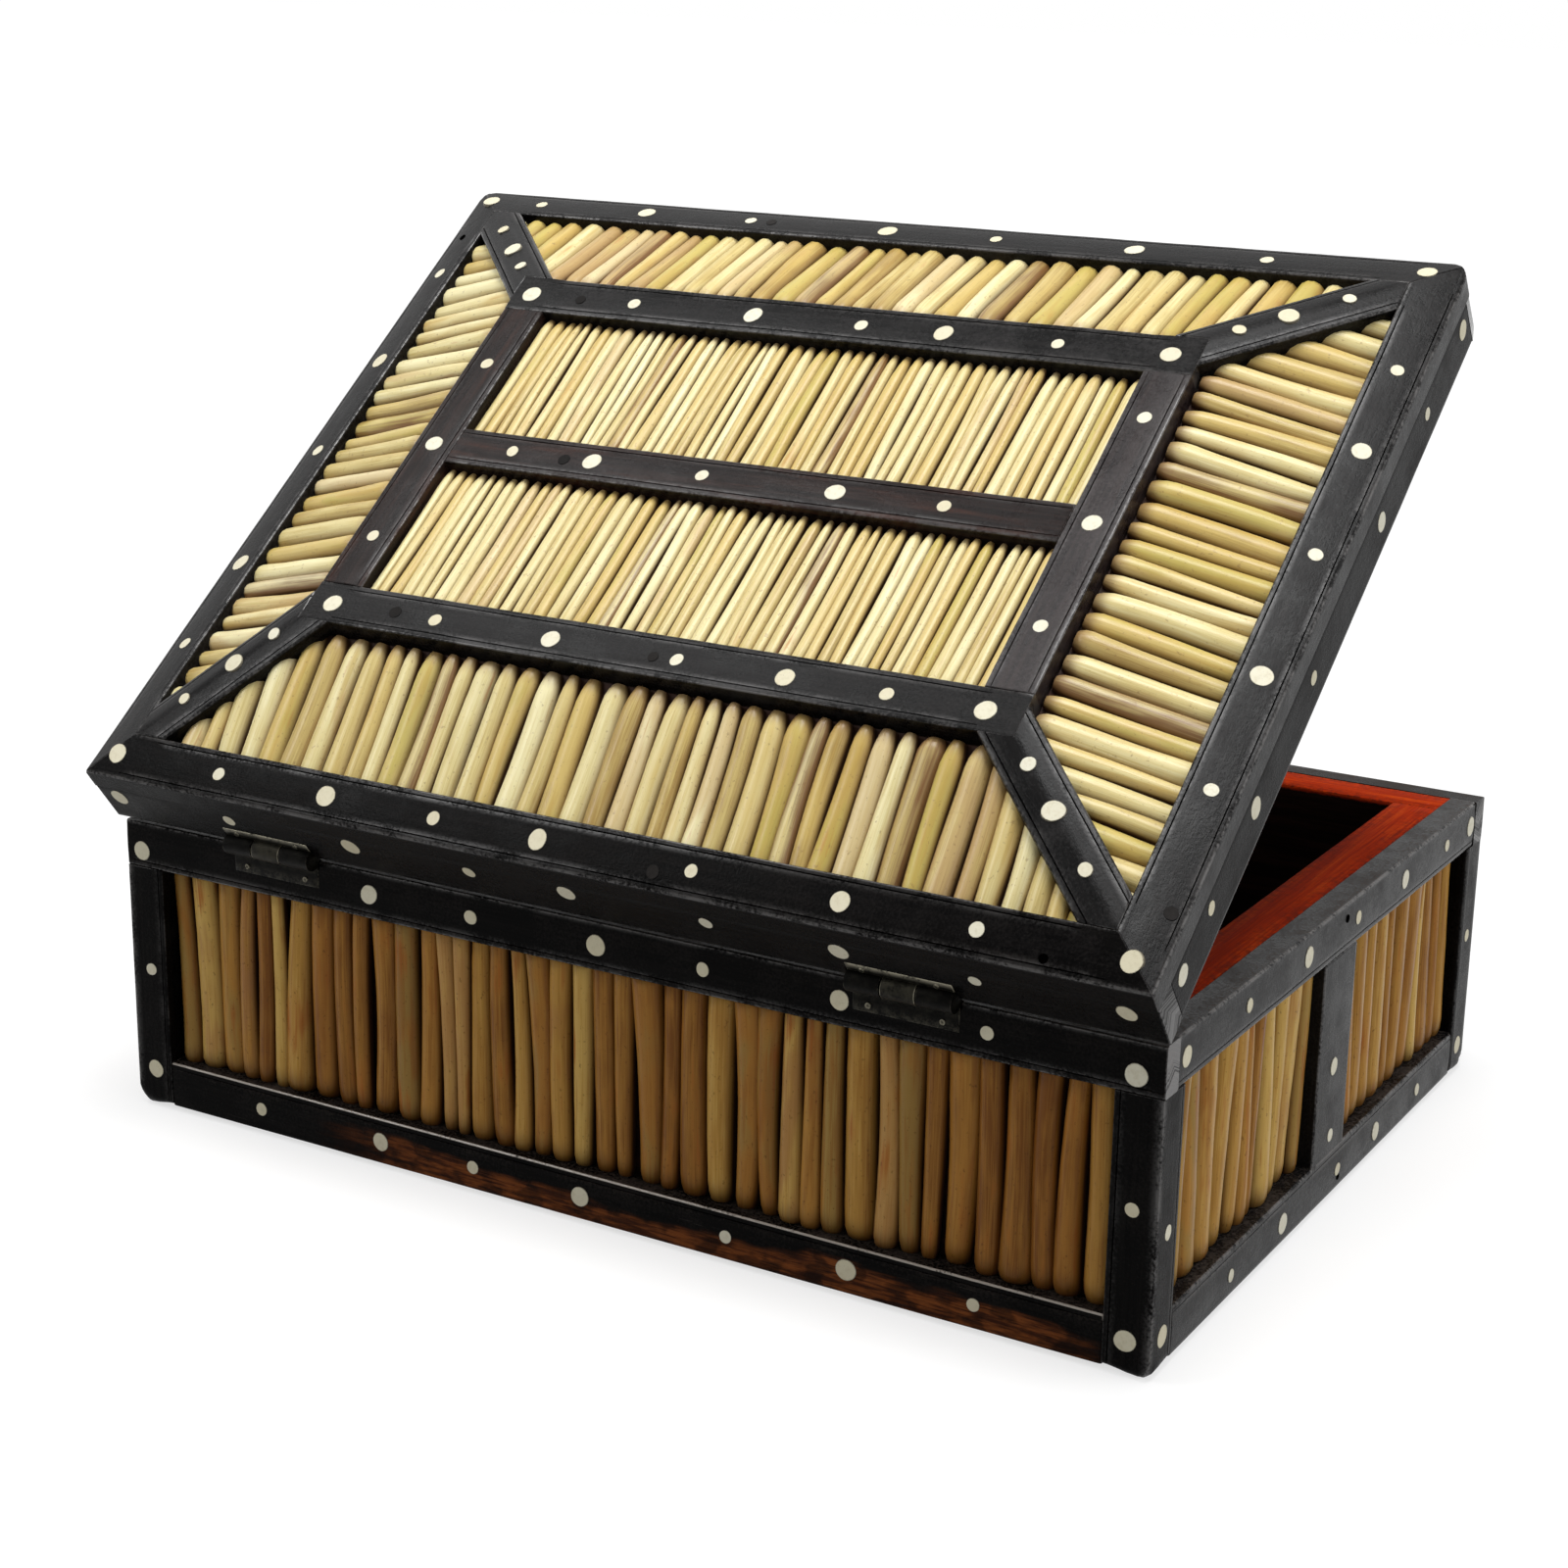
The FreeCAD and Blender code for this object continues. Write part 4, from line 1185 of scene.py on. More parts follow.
class QuillRecipe(NodeRecipe):
    """A bed of quills laid side by side across a panel.

    X runs across the panel, Y along the quills and Z outwards from the board.
    """

    def __init__(self) -> None:
        """Build the tree."""
        floats = ("Width", "Length", "Rise", "Uneven", "Taper", "Lean", "Start Tip", "End Tip", "Tip Left",
                  "Half Reach", "Paleness", "Contrast", "Bow", "Dark End")
        super().__init__("Bed of quills",
                         {"Count": "Int", "Browned": "Vector", **dict.fromkeys(floats, "Float")}, False)
        self.close(self.shape(self.blanks(self.places())))

    def places(self) -> Wire:
        """Lay out one point for each quill, with what sets the quill apart.

        Returns:
            The points.
        """
        share = self.random(1.0 - self.given("Uneven"), 1.0 + self.given("Uneven"), 0)
        running = self.add("GeometryNodeAccumulateField", {"data_type": "FLOAT", "domain": "POINT"},
                           {0: share})
        before, total = self.wire(running, "Trailing"), self.wire(running, "Total")
        width = self.given("Width")
        points = self.wire(self.add("GeometryNodeMeshLine", {"mode": "OFFSET"},
                                    {"Count": self.given("Count")}))
        points = self.keep(points, "middle", (before + share * 0.5) / total * width - width * 0.5)
        points = self.keep(points, "half", share / total * width * 0.5)
        points = self.keep(points, "tone", self.given("Paleness") + 0.5
                           + (self.random(0.0, 1.0, 11) - 0.5) * self.given("Contrast"))
        for name, low, high, shift in (("hue", 0.0, 1.0, 16), ("blunt", 0.6, 1.25, 17),
                                       ("turned", -1.0, 1.0, 12), ("lean", -1.0, 1.0, 13),
                                       ("sink", -0.35, 0.25, 14), ("bow", -1.0, 1.0, 15)):
            points = self.keep(points, name, self.random(low, high, shift))
        first, second, third = (
            self.math("LESS_THAN", abs(self.kept("middle") - mark), self.kept("half"))
            for mark in self.parts(self.given("Browned")))
        points = self.keep(points, "browned", first.math("MAXIMUM", second).math("MAXIMUM", third))
        room = self.given("Half Reach") - abs(self.kept("middle"))
        short = self.math("LESS_THAN", room, 1.2)
        return self.wire(self.add("GeometryNodeDeleteGeometry", {"domain": "POINT"},
                                  {"Geometry": points, "Selection": short}))

    def blanks(self, points: Wire) -> Wire:
        """Put a plain cylinder on every point, to be shaped into its quill.

        Args:
            points: The points.

        Returns:
            The cylinders, each vertex with its place on its own cylinder.
        """
        blank = self.wire(self.add("GeometryNodeMeshCylinder", {"fill_type": "TRIANGLE_FAN"},
                                   {"Vertices": 14, "Side Segments": 16, "Fill Segments": 1,
                                    "Radius": 1.0, "Depth": 1.0}))
        here = self.wire(self.add("GeometryNodeInputPosition"))
        blank = self.keep(blank, "spot", here, "FLOAT_VECTOR")
        quills = self.add("GeometryNodeInstanceOnPoints", None, {"Points": points, "Instance": blank})
        return self.wire(self.add("GeometryNodeRealizeInstances", None, {0: quills.outputs[0]}))

    def rounded(self, part: Wire) -> Wire:
        """Width of a rounded end, from what is left at its tip to the full width."""
        left = self.given("Tip Left")
        return left + (1.0 - left) * (1.0 - (1.0 - part) * (1.0 - part)) ** 0.8

    def shape(self, quills: Wire) -> Wire:
        """Shape the cylinders: rounded ends, taper, swellings, lean and bow.

        Args:
            quills: The cylinders.

        Returns:
            The quills, with what their finish reads.
        """
        ring_x, ring_z, share_z = self.parts(self.kept("spot", "FLOAT_VECTOR"))
        even = self.clamp(share_z + 0.5)
        place = even * even * (3.0 - even * 2.0)
        mid, radius = self.kept("middle"), self.kept("half")
        reach = self.given("Length").math("MINIMUM", self.given("Half Reach") - abs(mid))
        down = place * reach
        start = self.clamp((down + 0.02) / self.given("Start Tip"))
        end = self.clamp((reach - down + 0.02) / (self.given("End Tip") * self.kept("blunt")))
        swell = self.grain(self.vector(down * 0.07, mid * 1.7, 0.0), 1.0, 2.0)
        taper = 1.0 + self.kept("turned") * self.given("Taper") * (place - 0.5) * 2.0
        thick = radius * 1.04 * taper * (0.93 + swell * 0.13) * self.rounded(start) * self.rounded(end)
        drift = self.grain(self.vector(mid * 0.022, 4.0, 0.0), 1.0, 1.0) - 0.5
        lean = (self.kept("lean") * 0.5 + drift * 3.6) * self.given("Lean")
        bow = self.kept("bow") * self.given("Bow") * (place - place * place) * 4.0
        side = mid + lean * (down - reach * 0.5) + bow + thick * ring_x
        up = self.given("Rise") + self.kept("sink") - radius + thick * ring_z
        angle = self.math("ARCTAN2", ring_x, ring_z)
        quills = self.keep(quills, "grain", self.vector(down, angle * radius, self.kept("tone") * 90.0),
                           "FLOAT_VECTOR")
        # How near each point is to a quill's end, for the darker ends: partly the quills' own dark tips,
        # partly painted shade at the rails.
        nearest = self.math("MINIMUM", reach - down, down + self.given("Dark End") * 0.55)
        quills = self.keep(quills, "ends", 1.0 - self.clamp(nearest / self.given("Dark End")))
        quills = self.keep(quills, "crown", ring_z)
        quills = self.wire(self.add("GeometryNodeSetPosition", None, {
            "Geometry": quills, "Position": self.scaled(self.vector(side, down, up), MM)}))
        return self.wire(self.add("GeometryNodeSetShadeSmooth", None, {"Geometry": quills}))


class InlayRecipe(NodeRecipe):
    """Small round inlays set on points, each a little out of round."""

    def __init__(self) -> None:
        """Build the tree."""
        super().__init__("Round inlays", dict.fromkeys(("Proud", "Deep", "Chamfer", "Ragged"), "Float"), True)
        self.set_in()

    def set_in(self) -> None:
        """Place the discs and roughen their outlines."""
        disc = self.wire(self.add("GeometryNodeMeshCone", {"fill_type": "TRIANGLE_FAN"},
                                  {"Vertices": 22, "Side Segments": 1, "Fill Segments": 2,
                                   "Radius Top": 1.0 - self.given("Chamfer"), "Radius Bottom": 1.0,
                                   "Depth": 1.0}))
        rim = self.parts(self.wire(self.add("GeometryNodeInputPosition")))
        disc = self.keep(disc, "edge", (rim[0] * rim[0] + rim[1] * rim[1]).math("SQRT"))
        facing = self.kept("facing", "FLOAT_VECTOR")
        upright = self.wire(self.add("FunctionNodeAlignRotationToVector", {"axis": "Z"}, {"Vector": facing}))
        spin = self.wire(self.add("FunctionNodeAxisAngleToRotation", None,
                                  {"Axis": (0.0, 0.0, 1.0), "Angle": self.random(0.0, 6.28, 3)}))
        turn = self.wire(self.add("FunctionNodeRotateRotation", {"rotation_space": "LOCAL"},
                                  {0: upright, 1: spin}))
        radius = self.kept("radius")
        height = self.given("Proud") + self.given("Deep")
        wide, deep = (radius * self.random(0.93, 1.08, shift) * MM for shift in (4, 5))
        scale = self.vector(wide, deep, height * MM)
        points = self.keep(self.given("Geometry"), "tone", self.random(0.0, 1.0, 6))
        discs = self.add("GeometryNodeInstanceOnPoints", None,
                         {"Points": points, "Instance": disc, "Rotation": turn, "Scale": scale})
        discs = self.wire(self.add("GeometryNodeRealizeInstances", None, {0: discs.outputs[0]}))
        here = self.wire(self.add("GeometryNodeInputPosition"))
        ripple = self.add("ShaderNodeTexNoise", {"noise_dimensions": "3D"},
                          {"Vector": here, "Scale": 420.0, "Detail": 2.0})
        centred = self.combine("SUBTRACT", self.wire(ripple, 1), (0.5, 0.5, 0.5))
        level = self.combine("SUBTRACT", centred, self.combine("PROJECT", centred, facing))
        pull = self.scaled(level, self.given("Ragged") * MM)
        discs = self.wire(self.add("GeometryNodeSetPosition", None, {"Geometry": discs, "Offset": pull}))
        self.close(discs)


BIG_DOT, SMALL_DOT, WORN_DOT, FOOT_DOT = 2.35, 1.6, 2.2, 2.3


def in_turn(places: Iterable[float], big_first: bool = True) -> list[tuple[float, float]]:
    """Pair each place of a row with its dot's radius, large and small in turn."""
    radii = (BIG_DOT, SMALL_DOT) if big_first else (SMALL_DOT, BIG_DOT)
    return [(place, radii[k % 2]) for k, place in enumerate(places)]


@dataclass
class InlaySpots:
    """Places for round inlays on one body."""

    points: list[Vector] = field(default_factory=list)
    facings: list[Vector] = field(default_factory=list)
    radii: list[float] = field(default_factory=list)

    def put(self, point: Vector, facing: Vector, radius: float) -> None:
        """Add one place.

        Args:
            point: Middle of the inlay, on the surface.
            facing: Way that it faces.
            radius: Its radius.
        """
        self.points.append(point)
        self.facings.append(facing.normalized())
        self.radii.append(radius)

    def row(self, places: Iterable[float], where: Callable[[float], Vector], facing: Vector,
            big_first: bool = True) -> None:
        """Add a row of places, large and small in turn.

        Args:
            places: Distances along the row.
            where: Gives the point for a distance.
            facing: Way that the row faces.
            big_first: True if the row starts with a large one.
        """
        for place, radius in in_turn(places, big_first):
            self.put(where(place), facing, radius)

    def mesh(self, name: str, deep: float) -> Mesh:
        """The places as loose vertices, with what each inlay needs.

        Args:
            name: The mesh's name.
            deep: How far the vertices are sunk.

        Returns:
            The mesh, in metres.
        """
        mesh = bpy.data.meshes.new(name)
        sunk = [(p - f * deep) * MM for p, f in zip(self.points, self.facings)]
        mesh.from_pydata(sunk, [], [])
        carry(mesh, "facing", "FLOAT_VECTOR", [value for f in self.facings for value in f])
        carry(mesh, "radius", "FLOAT", self.radii)
        return mesh


@dataclass
class InlayWork:
    """Work that sets small round pieces into wood or metal."""

    shop: Workshop
    recipe: InlayRecipe

    def set_in(self, name: str, body: str, spots: InlaySpots, finish: str, slot: str,
               nodes: Sequence[str], deep: float, **shape: float) -> None:
        """Make one body's inlays of a kind and mount them.

        Args:
            name: Name of the piece.
            body: Body that it rides on.
            spots: The inlays' places.
            finish: Their finish.
            slot: Their material slot.
            nodes: CAD nodes that they stand for.
            deep: How deep they are set.
            shape: The recipe's other inputs.
        """
        mesh = self.recipe.run(name, spots.mesh(name + "_spots", deep), {
            "Deep": deep, "Material": self.shop.finishes[finish], **shape})
        smooth(mesh, 40.0)
        self.shop.mount(mesh, body, slot, finish, nodes, LID.swing() if body == "lid" else None)


def join(name: str, meshes: Sequence[Mesh]) -> Mesh:
    """Join meshes into one.

    Args:
        name: Name of the joined mesh.
        meshes: Meshes that share their attributes' names.

    Returns:
        The joined mesh.
    """
    objects = [bpy.data.objects.new(mesh.name, mesh) for mesh in meshes]
    for item in objects:
        bpy.context.scene.collection.objects.link(item)
    with bpy.context.temp_override(active_object=objects[0], selected_editable_objects=objects):
        bpy.ops.object.join()
    mesh = objects[0].data
    bpy.data.objects.remove(objects[0])
    mesh.name = name
    return mesh


# The box


@dataclass
class BoxCladding:
    """Ebony rails, stiles and posts of the box.

    Attributes:
        corner_round: Radius of a post's outer edge.
        foot_round: How much rounder that edge is at the floor.
        foot_high: Height up to which it is rounder.
        sole_round: Radius between a foot's outer sides and its sole.
        sweep_high: Height up to which the sole's sweep bends the foot.
        sweep_from: How far in from the outer sides the sweep begins.
    """

    shop: Workshop
    size: BoxSizes = BOX
    hinge_rooms: Sequence[tuple[float, float]] = ()
    corner_round: float = 0.4
    foot_round: float = 5.6
    foot_high: float = 5.0
    sole_round: float = 2.1
    sweep_high: float = 2.5
    sweep_from: float = 3.0

    def rail(self, side: Side, upper: bool) -> None:
        """One rail along a side, upper or bottom.

        Args:
            side: Side of the box.
            upper: True for the upper rail.
        """
        s = self.size
        half = side.pick(s.half_y, s.half_x)
        if side.is_long:
            reach = s.half_x if upper else s.half_x - s.post
        else:
            reach = s.core_y if upper else s.half_y - s.post
        height = s.rim - s.rail / 2 if upper else s.foot_drop + s.rail / 2
        name = f"{side.label}_{'upper' if upper else 'bottom'}_rail"
        head, tail = end_cuts(side, reach)
        raised = side.along.cross(side.out).z > 0
        scribed = (True, False) if upper == raised else (False, True)
        shape = Moulding(s.rail, s.clad, (0.5, 0.5), scribed, line_wide=0.26, line_deep=0.26)
        piece = Length(name, shape.section(), side.out * half + UP * height,
                       side.along, side.out, [head], [tail], bare=shape.bare(), dusty=True,
                       notches=self.hinge_rooms if upper and side is Side.REAR else ())
        # The ends' rails take a lighter copy of the ebony: painted light.
        finish = side.pick("ebony", "end_ebony")
        if side is Side.REAR and not upper:
            finish = "flamed_ebony"
        self.shop.mount(piece.mesh(), "box", "ebony", finish, [name])

    def stile(self, side: Side) -> None:
        """The upright in the middle of an end.

        Args:
            side: The end.
        """
        s = self.size
        name = f"{side.label}_stile"
        shape = Moulding(s.stile, s.clad, lines=(False, False))
        piece = Length(name, shape.section(), side.out * s.half_x, UP, side.out,
                       [cut_at(z=s.panel_low)], [cut_at(z=s.panel_high)])
        # The stiles take the same lighter copy of the ebony: painted light.
        self.shop.mount(piece.mesh(), "box", "ebony", "end_ebony", [name])

    def post(self, name: str, sign_x: int, sign_y: int) -> None:
        """A corner post, whose end is a foot.

        Args:
            name: The post's node.
            sign_x: Its side along X.
            sign_y: Its side along Y.
        """
        s = self.size
        inner = -s.post
        arm = [(inner, -s.clad, 0.0), (inner, -1.0, 0.0), (inner, -0.4, 0.1), (inner + 0.12, -0.12, 0.5),
               (inner + 0.4, 0.0, 0.1), (inner + 1.15, 0.0, 0.2), (inner + 1.3, -0.28, 0.0),
               (inner + 1.45, 0.0, 0.3), (inner + 3.2, 0.0, 0.0), (inner / 2, 0.0, 0.0), (-2.4, 0.0, 0.0),
               (-0.85, 0.0, 0.4), (-0.42, -0.06, 0.8), (-0.14, -0.14, 1.0)]
        outline = arm + [(y, x, a) for x, y, a in arm[-2::-1]] + [(-s.clad, -s.clad, 0.0)]
        section = [(-sign_x * x, sign_y * y, a) for x, y, a in outline]
        corner = Vector((sign_x * s.half_x, sign_y * s.half_y, 0.0))
        piece = Length(name, section, corner, UP, Vector((0, 1, 0)), [cut_at(z=0.0)],
                       [cut_at(z=s.panel_high)], wave=0.0, seam=0.05,
                       extra=(0.3, 0.7, 1.2, 2.0, 3.0, 4.2)).mesh()
        self.shape_foot(piece, sign_x, sign_y)
        self.shop.mount(piece, "box", "ebony", "ebony", [name])

    def shape_foot(self, mesh: Mesh, sign_x: int, sign_y: int) -> None:
        """Round a foot's outer edges and sweep its sole up to the rails beside it.

        Args:
            mesh: The post's mesh.
            sign_x: The post's side along X.
            sign_y: The post's side along Y.
        """
        s, soft = self.size, self.sole_round
        for vertex in mesh.vertices:
            above = vertex.co.z / MM
            radius = self.corner_round + self.foot_round * max(0.0, 1.0 - above / self.foot_high) ** 2
            across = Vector((sign_x * vertex.co.x / MM - s.half_x + radius,
                             sign_y * vertex.co.y / MM - s.half_y + radius))
            if min(across) > 0.0 and across.length > radius:
                across *= radius / across.length
                vertex.co.x = sign_x * (s.half_x - radius + across.x) * MM
                vertex.co.y = sign_y * (s.half_y - radius + across.y) * MM
            inward = max(s.half_x - sign_x * vertex.co.x / MM, s.half_y - sign_y * vertex.co.y / MM)
            if above < soft:
                inset = soft - math.sqrt(max(0.0, soft ** 2 - (soft - above) ** 2))
                for axis, sign, half in ((0, sign_x, s.half_x), (1, sign_y, s.half_y)):
                    if sign * vertex.co[axis] / MM > half - inset:
                        vertex.co[axis] = sign * (half - inset) * MM
            if above < self.sweep_high:
                part = min(1.0, max(0.0, (inward - self.sweep_from) / (s.post - self.sweep_from)))
                lift = s.foot_drop * part * part * (3.0 - 2.0 * part)
                vertex.co.z += lift * (1.0 - above / self.sweep_high) * MM

    def build(self) -> None:
        """Make every member."""
        for side in Side:
            self.rail(side, True)
            self.rail(side, False)
        for side in (Side.RIGHT, Side.LEFT):
            self.stile(side)
        for words, sign_x, sign_y in corners():
            self.post(f"{words}_post", sign_x, sign_y)


@dataclass
class BoxCarcass:
    """The boards that the cladding is fixed to."""

    shop: Workshop
    size: BoxSizes = BOX

    def wall(self, name: str, side: Side) -> None:
        """One board of the carcass, whose top edge shows at the rim.

        Args:
            name: The board's node.
            side: Side of the box.
        """
        s = self.size
        outer = side.pick(s.core_y, s.core_x)
        head, tail = end_cuts(side, side.pick(s.core_x, s.core_y - s.wall))
        depth = s.rim - s.floor
        section = plain_section(s.wall, depth, 0.5)
        steps = [-depth * part for part in (0.75, 0.5, 0.25, 0.1)]
        left = [(-s.wall / 2, q, 0.0) for q in steps]
        right = [(s.wall / 2, q, 0.0) for q in reversed(steps)]
        section = section[:1] + left + section[1:-1] + right + section[-1:]
        piece = Length(name, section, side.out * (outer - s.wall / 2) + UP * s.rim, side.along, UP,
                       [head], [tail], seam=0.12, pace=5.0, wave=0.05)
        self.shop.mount(piece.mesh(), "box", "red_wood", "red_wood", [name])

    def build(self) -> None:
        """Make the walls and dress the base board."""
        self.wall("rear_wall", Side.REAR)
        self.wall("front_wall", Side.FRONT)
        self.wall("left_end_wall", Side.LEFT)
        self.wall("right_end_wall", Side.RIGHT)
        self.shop.dress("base_board", "black_wood")


# The lid


@dataclass
class LidTrim:
    """Ebony bands, strips, rails and hips of the lid."""

    shop: Workshop
    size: LidSizes = LID
    hinge_rooms: Sequence[tuple[float, float]] = ()
    front_round: float = 5.0

    def fit(self, mesh: Mesh, name: str, finish: str = "ebony", slot: str = "ebony") -> None:
        """Round the lid's front corners on a member and mount it.

        Args:
            mesh: The member, closed.
            name: Its node.
            finish: Its finish.
            slot: Its material slot.
        """
        s, r = self.size, self.front_round
        for vertex in mesh.vertices:
            x, y = abs(vertex.co.x / MM) - (s.half_x - r), -vertex.co.y / MM - (s.half_y - r)
            far = math.hypot(x, y)
            if x > 0.0 and y > 0.0 and far > r:
                vertex.co.x *= (s.half_x - r + x * r / far) * MM / abs(vertex.co.x)
                vertex.co.y = -(s.half_y - r + y * r / far) * MM
        self.shop.mount(mesh, "lid", slot, finish, [name], s.swing())

    def mitre(self, side: Side) -> tuple[Cut, Cut]:
        """The two mitre cuts of a side's strip.

        Args:
            side: The side.

        Returns:
            The cuts at its lower and at its higher end.
        """
        s = self.size
        cuts = []
        for sign in (-1, 1):
            corner = side.out * side.pick(s.half_y, s.half_x)
            corner += side.along * sign * side.pick(s.half_x, s.half_y)
            cuts.append(Cut(corner, (side.along * sign - side.out).normalized()))
        return cuts[0], cuts[1]

    def strip(self, side: Side) -> None:
        """The sloping strip along one edge, with an upright outer side.

        Args:
            side: Side of the lid.
        """
        s = self.size
        width = s.strip / s.slope_cos
        out = s.tilt(side)
        outward = side.along.cross(out).dot(side.out) > 0
        shape = Moulding(width, s.trim, (0.45, 0.45), line_in=1.15, line_deep=0.32)

        def upright(section: Section) -> Section:
            """Lean the outer side of the section so that it stands upright on the closed lid."""
            edge = (width / 2 - 0.5) * (1 if outward else -1)
            return [(p - q * s.slope * (1 if outward else -1) if p / edge > 1.0 else p, q, a)
                    for p, q, a in section]

        half = side.pick(s.half_y, s.half_x)
        inward = s.strip / 2
        middle = side.out * (half - inward) + UP * (s.base + s.edge + s.slope * inward)
        head, tail = self.mitre(side)
        piece = Length(f"lid_{side.label}_strip", upright(shape.section()), middle, side.along, out,
                       [head], [tail], extra=(1.0, 2.0, 3.2), wave=0.08, bare=upright(shape.bare()),
                       bare_reach=9.0)
        # The strips but the rear one take a lighter copy of the ebony: painted light.
        self.fit(piece.mesh(), piece.name, "ebony" if side is Side.REAR else "strip_ebony")

    def band(self, side: Side) -> None:
        """The upright band under a strip.

        Args:
            side: Side of the lid.
        """
        s = self.size
        top = s.base + s.edge - s.trim / s.slope_cos
        half = side.pick(s.half_y, s.half_x)
        head, tail = end_cuts(side, side.pick(s.half_x, s.half_y - s.band))
        middle = side.out * half + UP * ((s.base + top) / 2)
        flipped = side.along.cross(side.out).z < 0
        shape = Moulding(top - s.base, s.band, (0.04, 0.5) if flipped else (0.5, 0.04), lines=(False, False),
                         crown=0.0)
        piece = Length(f"lid_{side.label}_band", shape.section(), middle, side.along, side.out,
                       [head], [tail], extra=(1.0, 2.0, 3.2), wave=0.04,
                       notches=self.hinge_rooms if side is Side.REAR else ())
        self.fit(piece.mesh(), piece.name)

    def flat_rail(self, side: Side) -> None:
        """A rail of the flat top.

        Args:
            side: Side of the flat top.
        """
        s = self.size
        half = side.pick(s.flat_y, s.flat_x)
        head, tail = end_cuts(side, side.pick(s.flat_x, s.flat_y - s.top_rail))
        middle = side.out * (half - s.top_rail / 2) + UP * s.top
        outward = side.along.cross(UP).dot(side.out) > 0
        shape = Moulding(s.top_rail, s.trim, (0.35, 0.35))
        square = (side.is_long and not outward, side.is_long and outward)
        piece = Length(f"lid_{side.label}_rail", shape.section(), middle, side.along, UP, [head], [tail],
                       bare=shape.bare(square), bare_reach=side.pick(8.5, 2.0), seam=0.1)
        # The left flat rail takes a lighter, glossier copy of the ebony: painted sheen. The long flat rails
        # take the lighter copy: painted light.
        finish = "satin_ebony" if side is Side.LEFT else "brown_ebony"
        self.fit(piece.mesh(), piece.name, "strip_ebony" if side.is_long else finish, "brown_ebony")

    def mid_rail(self) -> None:
        """The rail between the two centre panels."""
        s = self.size
        reach = s.flat_x - s.top_rail
        shape = Moulding(s.mid_rail, s.trim, (0.35, 0.35))
        piece = Length("lid_mid_rail", shape.section(), UP * s.top, Vector((1, 0, 0)), UP,
                       [cut_at(x=-reach)], [cut_at(x=reach)], bare=shape.bare())
        self.fit(piece.mesh(), piece.name, "brown_ebony", "brown_ebony")

    def hip(self, name: str, sign_x: int, sign_y: int) -> None:
        """The ridged strip that runs down one corner of the lid.

        Args:
            name: Its node.
            sign_x: Its side along X.
            sign_y: Its side along Y.
        """
        s = self.size
        fall = (s.slope / math.sqrt(2)) / math.sqrt(1 + s.slope ** 2 / 2)
        section = []
        for p, q, arris in Moulding(s.hip, s.trim, (0.45, 0.45), crown=0.0, line_in=1.3).section():
            if q > -s.trim:
                q -= fall * (math.sqrt(p * p + 0.35) - math.sqrt(0.35)) + 0.02
            section.append((p, q, arris))
        along = Vector((sign_x, sign_y, -s.slope)).normalized()
        out = Vector((sign_x * s.slope / 2, sign_y * s.slope / 2, 1)).normalized()
        piece = Length(name, section, s.surface(sign_x * s.flat_x, sign_y * s.flat_y), along, out,
                       [cut_at(x=sign_x * s.flat_x), cut_at(y=sign_y * s.flat_y)],
                       [cut_at(x=sign_x * (s.half_x - s.strip)), cut_at(y=sign_y * (s.half_y - s.strip))],
                       pace=3.0)
        # The hips take the lighter copy of the ebony: painted light.
        self.fit(piece.mesh(), name, "strip_ebony")

    def build(self) -> None:
        """Make every member and dress the boards under them."""
        for side in Side:
            self.strip(side)
            self.band(side)
            self.flat_rail(side)
        self.mid_rail()
        for words, sign_x, sign_y in corners():
            self.hip(f"lid_{words}_hip", sign_x, sign_y)
        for side in Side:
            self.shop.dress(f"lid_{side.label}_slope_board", "inner_wood")
        self.shop.dress("lid_top_board", "inner_wood")
        self.shop.dress("lid_frame", "inner_wood")
        self.shop.dress("lid_lining", "black_wood")


# Quills


@dataclass(frozen=True)
class QuillPanel:
    """One bed of quills: its frame and what sets its quills apart.

    Attributes:
        corner: Middle of the edge where the quills start, on the board.
        across: Way in which the quills follow one another.
        along: Way that each quill runs.
        rise: How far the quills stand above the board.
        uneven: How much their widths vary.
        tip_left: Share of the width that is left at a tip.
        half_reach: Half width where the quills start, if the panel's ends are mitred.
        browned: Places across the panel of its brown quills.
    """

    name: str
    corner: Vector
    across: Vector
    along: Vector
    count: int
    width: float
    length: float
    rise: float
    seed: int
    body: str
    uneven: float
    taper: float
    lean: float
    start_tip: float
    end_tip: float
    tip_left: float
    dark_end: float
    paleness: float
    contrast: float
    bow: float
    half_reach: float = 1000.0
    browned: tuple[float, float, float] = (900.0, 900.0, 900.0)

    def frame(self) -> Matrix:
        """How the panel's own axes lie on the closed box.

        Returns:
            The matrix, in metres.
        """
        out = self.across.cross(self.along).normalized()
        turn = Matrix((self.across, self.along, out)).transposed().to_4x4()
        return Matrix.Translation(self.corner * MM) @ turn


